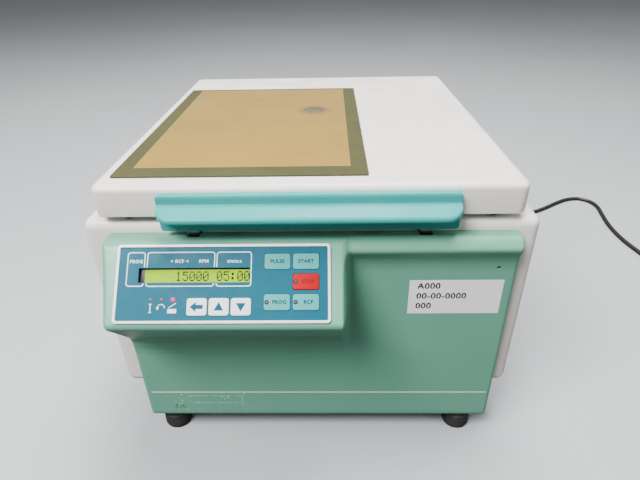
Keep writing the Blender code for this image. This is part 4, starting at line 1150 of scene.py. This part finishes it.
def icons():
    """Rod, turning arrow and open lid, below the three lamps."""
    made = []
    x, y = keypad_x(30.8), keypad_y(55.6)
    made.append(printed(flat_sign(rounded(0.0007, 0.0060, 0.0002, steps=2)), x, y))
    made.append(printed(flat_sign(rounded(0.0024, 0.0006, 0.0002, steps=2)), x, y + 0.0031))
    made.append(printed(flat_sign([(-0.0013, -0.0005), (0.0013, -0.0005), (0.0004, 0.0007),
                              (-0.0004, 0.0007)]), x, y - 0.0034))
    x, y = keypad_x(39.8), keypad_y(55.0)
    ring = arc(0, 0, 0.0033, 0, 170, 20) + arc(0, 0, 0.0027, 170, 0, 20)
    made.append(printed(flat_sign(ring), x, y - 0.0006))
    made.append(printed(flat_sign([(-0.0042, 0.0006), (-0.0014, 0.0006), (-0.0029, -0.0017)]),
                        x, y - 0.0006))
    x, y = keypad_x(49.0), keypad_y(57.0)
    made.append(printed(flat_sign(rounded(0.0074, 0.0034, 0.0003, steps=2)), x, y - 0.0012))
    lid_line = flat_sign(rounded(0.0072, 0.0006, 0.0002, steps=2))
    made.append(printed(moved(lid_line, turn(32, "Z")), x + 0.0002, y + 0.0034))
    return made


def key(name, word, x, y):
    """A key cap with soft edges and its sign."""
    width, height = KEY_SIZE if word else ARROW_SIZE
    cap = plate([rounded(width, height, 0.0021, x, y, 6)], 0.0025, 0.00040, 3)
    finish, slot = Finish.key_light, "light_key"
    ink = Finish.teal_ink
    if name == "stop":
        finish, slot, ink = Finish.key_red, "red_key", Finish.stop_ink
    if not word:
        finish, slot, ink = Finish.key_white, "white_key", Finish.blue_ink
    items = [(moved(cap, up(0.0003)), finish)]
    top = KEY_TOP + 0.00001
    if word:
        shift = 0.0020 if name in ("stop", "program", "rcf") else 0.0
        items.append((printed(lettering(word, 0.0029, 0.00004, 0.00014, 1.08), x + shift, y, top), ink))
        if shift:
            ring = lathe([(0.0010, 0.00012), (0.0018, 0.00012), (0.0019, 0.0), (0.0009, 0.0)], 28, True)
            dot = lathe([(0, 0.0002), (0.0007, 0.00014), (0.0009, 0.0), (0, 0.0)], 20)
            for mesh, paint in ((ring, Finish.dark_ink), (dot, Finish.lamp_off)):
                items.append((printed(mesh, x - 0.0083, y, KEY_TOP), paint))
    elif name == "left":
        points = [(-0.0056, 0), (-0.0006, 0.0042), (-0.0006, 0.0017), (0.0052, 0.0017),
                  (0.0052, -0.0017), (-0.0006, -0.0017), (-0.0006, -0.0042)]
        items.append((printed(flat_sign(points), x, y, top), ink))
    else:
        tip = 1 if name == "up" else -1
        points = [(-0.0040, -0.0030 * tip), (0.0040, -0.0030 * tip), (0, 0.0040 * tip)]
        items.append((printed(flat_sign(points), x, y, top), ink))
    piece(f"keycap_{name}", items, f"{name}_key", (f"key_{name}",), home=KEYPAD)


def display(low, high):
    """Sunken display: dark frame, lit panel and its dot-matrix numbers; the black strips left of and
    above the lit panel are partly the inner frame and partly painted shade of the recess.
    """
    # the lit panel stops short of the window's left and top edges: the black left there is partly inner
    # frame and partly painted shade
    lit_left = keypad_x(23.6)
    body = box((low[0] + 0.0004, low[1] - 0.0004, -0.0081), (high[0] + 0.0006, high[1] + 0.0004, -0.0020),
               0.0004, 2)
    lit = box((lit_left, low[1] + 0.0002, -0.0021), (high[0] + 0.0004, high[1] - 0.0011, -0.0016),
              0.0001, 1)
    middle = (low[1] + high[1] - 0.0011) / 2
    items = [(body, Finish.black), (lit, Finish.display)]
    for text, right in (("15000", 78.5), ("05:00", 113.1)):
        numbers = display_text(text, keypad_x(right), middle)
        items.append((moved(numbers, up(-0.00158)), Finish.dots))
    walls = plate([rounded(high[0] - low[0] + 0.0012, high[1] - low[1] + 0.0012, 0.0008, steps=3),
                   rounded(high[0] - low[0] - 0.0002, high[1] - low[1] - 0.0002, 0.0006, steps=3)],
                  0.0040)
    middle_x = (low[0] + high[0]) / 2
    items.append((moved(walls, at(middle_x, (low[1] + high[1]) / 2, -0.0019)), Finish.black))
    piece("display_panel", items, "machine", ("lcd_display",), home=KEYPAD)


# ---------------------------------------------------------------- grip strip
def grip():
    """Long moulded pull: upright band, sloping shelf with a thick lip, rounded in plan."""
    outline = [(-0.0030, 0.2868), (-0.0068, 0.2872), (-0.0088, 0.2862), (-0.0096, 0.2840),
               (-0.0096, 0.2785), (-0.0108, 0.2774), (-0.0243, 0.2735), (-0.0262, 0.2716),
               (-0.0262, 0.2690), (-0.0252, 0.2676), (-0.0226, 0.2672), (-0.0110, 0.2700),
               (-0.0090, 0.2685), (-0.0088, 0.2534), (-0.0080, 0.2526), (-0.0046, 0.2526),
               (-0.0046, 0.2750), (-0.0030, 0.2765)]
    outline = softened(outline, 0.0016, 3)
    half, corner, ear, soft = 0.126, 0.0145, 0.0040, 0.0008
    bottom, top = 0.2526, 0.2872
    root, tip, slope = -0.0112, -0.0262, 0.27
    stations = [half - soft * (1 - math.sin(math.pi / 2 * i / 3)) for i in range(4)]
    curved = [half - corner + corner * math.sin(math.pi / 2 * i / 16) for i in range(16)]
    flat = [0.02 * i for i in range(6)]
    ends = [flat, [x for x in curved if x < stations[0]], stations]
    positive = [x for part in ends for x in part]
    places = [-x for x in positive[:0:-1]] + positive
    centre = Vector((-0.0085, 0.2735))
    shape, rings = bmesh.new(), []
    for x in places:
        out = max(0.0, abs(x) - (half - corner))
        reach = 1.0 - (corner - math.sqrt(max(corner ** 2 - out ** 2, 0.0))) / (root - tip)
        over = max(0.0, abs(x) - (half - ear))
        trim = ear - math.sqrt(max(ear ** 2 - over ** 2, 0.0))
        shrink = 1.0
        if abs(x) > half - soft:
            shrink = 1.0 - 0.10 * (abs(x) - half + soft) / soft
        ring = []
        for y, z in outline:
            y, z = centre.x + (y - centre.x) * shrink, centre.y + (z - centre.y) * shrink
            if y < root:
                back = (root - y) * (1.0 - reach)
                y, z = y + back, z + slope * back
            ring.append(shape.verts.new((x, y, min(max(z, bottom + trim), top - trim))))
        rings.append(ring)
    count = len(outline)
    for first, second in zip(rings, rings[1:]):
        for i in range(count):
            j = (i + 1) % count
            shape.faces.new((first[i], first[j], second[j], second[i]))
    for ring in (rings[0], rings[-1]):
        shape.faces.new(ring)
    strip = to_mesh(shape)
    notches = [box((side * 0.060 - 0.0063, -0.0085, 0.2775), (side * 0.060 + 0.0063, 0.01, 0.2857))
               for side in (-1, 1)]
    bore = moved(rod(0.0016, -0.112, 0.112, 24),
                 at(0, -0.0057, 0.282) @ turn(90, "Y"))
    piece("grip_moulding", [(carved(strip, notches + [bore]), Finish.turquoise)], "grip",
          ("grip_strip",), sharp=38)


# ---------------------------------------------------------------- chamber and rotor
def chamber():
    r = 0.162
    low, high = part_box("chamber_bowl")
    rim = high.z
    bowl = softened([(r + 0.010, rim), (r + 0.010, rim - 0.0015), (r + 0.0015, rim - 0.0015),
                     (r + 0.0015, 0.132), (r - 0.002, 0.1215), (r - 0.010, 0.1165), (0.024, 0.1165),
                     (0.024, 0.118), (r - 0.0105, 0.118), (r - 0.0032, 0.1225), (r, 0.1325),
                     (r, rim)], 0.0012, 2)
    piece("bowl_spun", [(lathe(bowl, 128, True), Finish.bowl)], "machine",
          ("chamber_bowl",), home=SPINDLE)
    low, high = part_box("chamber_seal")
    lip = [(r + 0.0040, high.z), (r + 0.0058, high.z - 0.0012), (r + 0.0050, high.z - 0.0020),
           (r + 0.0060, high.z - 0.0030), (r + 0.0060, low.z), (r - 0.002, low.z),
           (r - 0.002, high.z - 0.0026), (r - 0.0010, high.z - 0.0010), (r + 0.0004, high.z),
           (r + 0.0014, high.z - 0.0012), (r + 0.0026, high.z - 0.0012)]
    piece("seal_ribbed", [(lathe(softened(lip, 0.0004, 2), 128, True), Finish.rubber)], "machine",
          ("chamber_seal",), home=SPINDLE)


def rotor():
    """Turned rotor with slanted wells, a number by each, and the ridged knob."""
    low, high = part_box("rotor")
    top, foot, bore = high.z, low.z, 0.0064
    profile = softened([(0.085, top), (0.088, top - 0.002), (0.150, 0.150), (0.150, 0.141),
                        (0.146, 0.137), (0.118, 0.137), (0.060, 0.160), (0.030, 0.160),
                        (0.024, foot), (bore, foot), (bore, top)], 0.0012, 2)
    wells, marks = [], []
    for i in range(6):
        around = Matrix.Rotation(math.pi * i / 3, 4, "Z")
        mouth = around @ at(0.052, 0, top) @ turn(135, "Y")
        well = lathe([(0, -0.03), (0.015, -0.03), (0.015, 0.084), (0.0125, 0.091), (0.007, 0.0945),
                      (0, 0.095)], 48)
        wells.append(moved(well, mouth))
        number = lettering(str(i + 1), 0.0055, 0.00012)
        marks.append((moved(number, around @ at(0.0785, 0.0, top + 0.00001) @ turn(90, "Z")),
                      Finish.dark_ink))
    body = carved(lathe(profile, 144, True), wells)
    piece("rotor_turned", [(body, Finish.rotor)] + marks, "spindle", ("rotor",),
          home=SPINDLE)
    low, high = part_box("rotor_knob")
    knob = softened([(0, high.z), (0.012, high.z), (0.0155, 0.2355), (0.0165, 0.230), (0.0148, 0.222),
                     (0.0148, low.z), (0.0055, 0.222), (0.0055, 0.2335), (0, 0.2335)], 0.0008, 2, False)
    items = [(lathe(knob, 64), Finish.black)]
    for i in range(20):
        rib = box((0.0152, -0.0007, 0.2240), (0.0169, 0.0007, 0.2335), 0.0004, 2)
        items.append((moved(rib, Matrix.Rotation(math.pi * i / 10, 4, "Z")), Finish.black))
    disc = lathe([(0, high.z), (0.0070, high.z), (0.0076, high.z - 0.0003), (0, high.z - 0.0004)], 40)
    items.append((disc, Finish.steel))
    piece("rotor_knob_ridged", items, "spindle", ("rotor_knob",), home=SPINDLE)


# ---------------------------------------------------------------- feet, rear and hinge
def feet():
    height = 0.0262
    profile = softened([(0, height), (0.0125, height), (0.0135, height - 0.002), (0.0137, 0.0205),
                        (0.0131, 0.0198), (0.0131, 0.0186), (0.0140, 0.0180), (0.0145, 0.0035),
                        (0.0138, 0.0012), (0.0130, 0), (0.0040, 0), (0.0034, 0.0020), (0, 0.0020)],
                       0.0005, 2, False)
    for name in ("foot_front_left", "foot_front_right", "foot_rear_left", "foot_rear_right"):
        low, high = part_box(name)
        middle = (low + high) / 2
        piece(f"{name}_moulding", [(lathe(profile, 48), Finish.rubber)], "machine",
              (name,), home=at(middle.x, middle.y))


def screw(radius=0.0035):
    """Pan-head screw with a cross recess, its head towards +Z."""
    head = lathe(softened([(0, 0.0018), (radius * 0.6, 0.0017), (radius, 0.0007), (radius, 0.0),
                           (0, 0.0)], 0.0003, 2, False), 28)
    cross = [box((-radius * 0.62, -radius * 0.14, 0.0008), (radius * 0.62, radius * 0.14, 0.003)),
             box((-radius * 0.14, -radius * 0.62, 0.0008), (radius * 0.14, radius * 0.62, 0.003))]
    return carved(head, cross)


def rear_details():
    """Panel screws, earth terminal and data plate without text."""
    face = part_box("rear_panel")[1].y + CENTRE_Y
    facing = turn(-90, "X")
    items = []
    for x in (-0.166, 0.0, 0.166):
        for z in (0.0835, 0.2065):
            items.append((moved(screw(0.0030), at(x, face, z) @ facing), Finish.steel))
    stud = lathe([(0, 0.009), (0.0022, 0.009), (0.0025, 0.0086), (0.0025, 0.003), (0.0052, 0.003),
                  (0.0052, 0.0), (0, 0.0)], 24)
    items.append((moved(stud, at(0.045, face, 0.096) @ facing), Finish.steel))
    piece("rear_fixings", items, "machine")
    data_plate = plate([rounded(0.062, 0.034, 0.0015)], 0.0005, 0.0001)
    lines = [(moved(data_plate, at(-0.115, face + 0.00025, 0.186) @ facing), Finish.label)]
    for i in range(5):
        width = 0.050 - 0.008 * (i % 3)
        rule = plate([rounded(width, 0.0010, 0.0002, steps=2)], 0.00008)
        lines.append((moved(rule, at(-0.115 + (0.050 - width) / 2, face + 0.00054, 0.197 - 0.0050 * i)
                            @ facing), Finish.dark_ink))
    piece("data_plate", lines, "machine")


def springs():
    """Torsion springs round the hinge shaft, each with two straight legs."""
    axis_y, axis_z, radius, pitch, start = 0.424, 0.246, 0.0068, 0.0062, 0.066
    for name, side in (("hinge_spring_left", -1), ("hinge_spring_right", 1)):
        points = [(side * start, axis_y + 0.017, axis_z - radius)]
        for i in range(5 * 24 + 1):
            angle = -math.pi / 2 - 2 * math.pi * i / 24
            points.append((side * (start + pitch * i / 24), axis_y + radius * math.cos(angle),
                           axis_z + radius * math.sin(angle)))
        points.append((points[-1][0], axis_y - 0.016, points[-1][2]))
        wire = line_tube(f"{name}_wire", points, 0.001, Finish.steel, "machine", 4)
        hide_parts(name)


# ---------------------------------------------------------------- what stays from the CAD model
KEPT = (
    (Finish.coat, "base_tray rear_panel"),
    (Finish.board, "control_board"),
    (Finish.steel, "grip_bracket_left grip_bracket_right grip_shaft hinge_arm_left hinge_arm_right "
                   "hinge_bracket hinge_shaft lock_bolt lock_hook_left lock_hook_right lock_keeper "
                   "motor_mount_plate motor_shaft release_shaft"),
    (Finish.rubber, "lid_buffer_left lid_buffer_right motor_damper_1 motor_damper_2 motor_damper_3"),
    (Finish.liner, "lid_liner"),
    (Finish.black, "lock_solenoid mains_inlet mains_switch motor_fan"),
    (Finish.cast, "motor_housing transformer"),
    (Finish.smoked, "viewport_lens"))


def kept_nodes():
    for name, finish in ((name, finish) for finish, names in KEPT for name in names.split()):
        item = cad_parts[name]
        if not item.data.materials:
            item.data.materials.append(finish)
        for slot in item.material_slots:
            slot.link = "OBJECT"
            slot.material = finish


for build in (camera, mains_cord, studio, casing, lid, lid_plate, front_panel, panel_printing,
              keypad, grip, chamber, rotor, feet, rear_details, springs, kept_nodes):
    build()
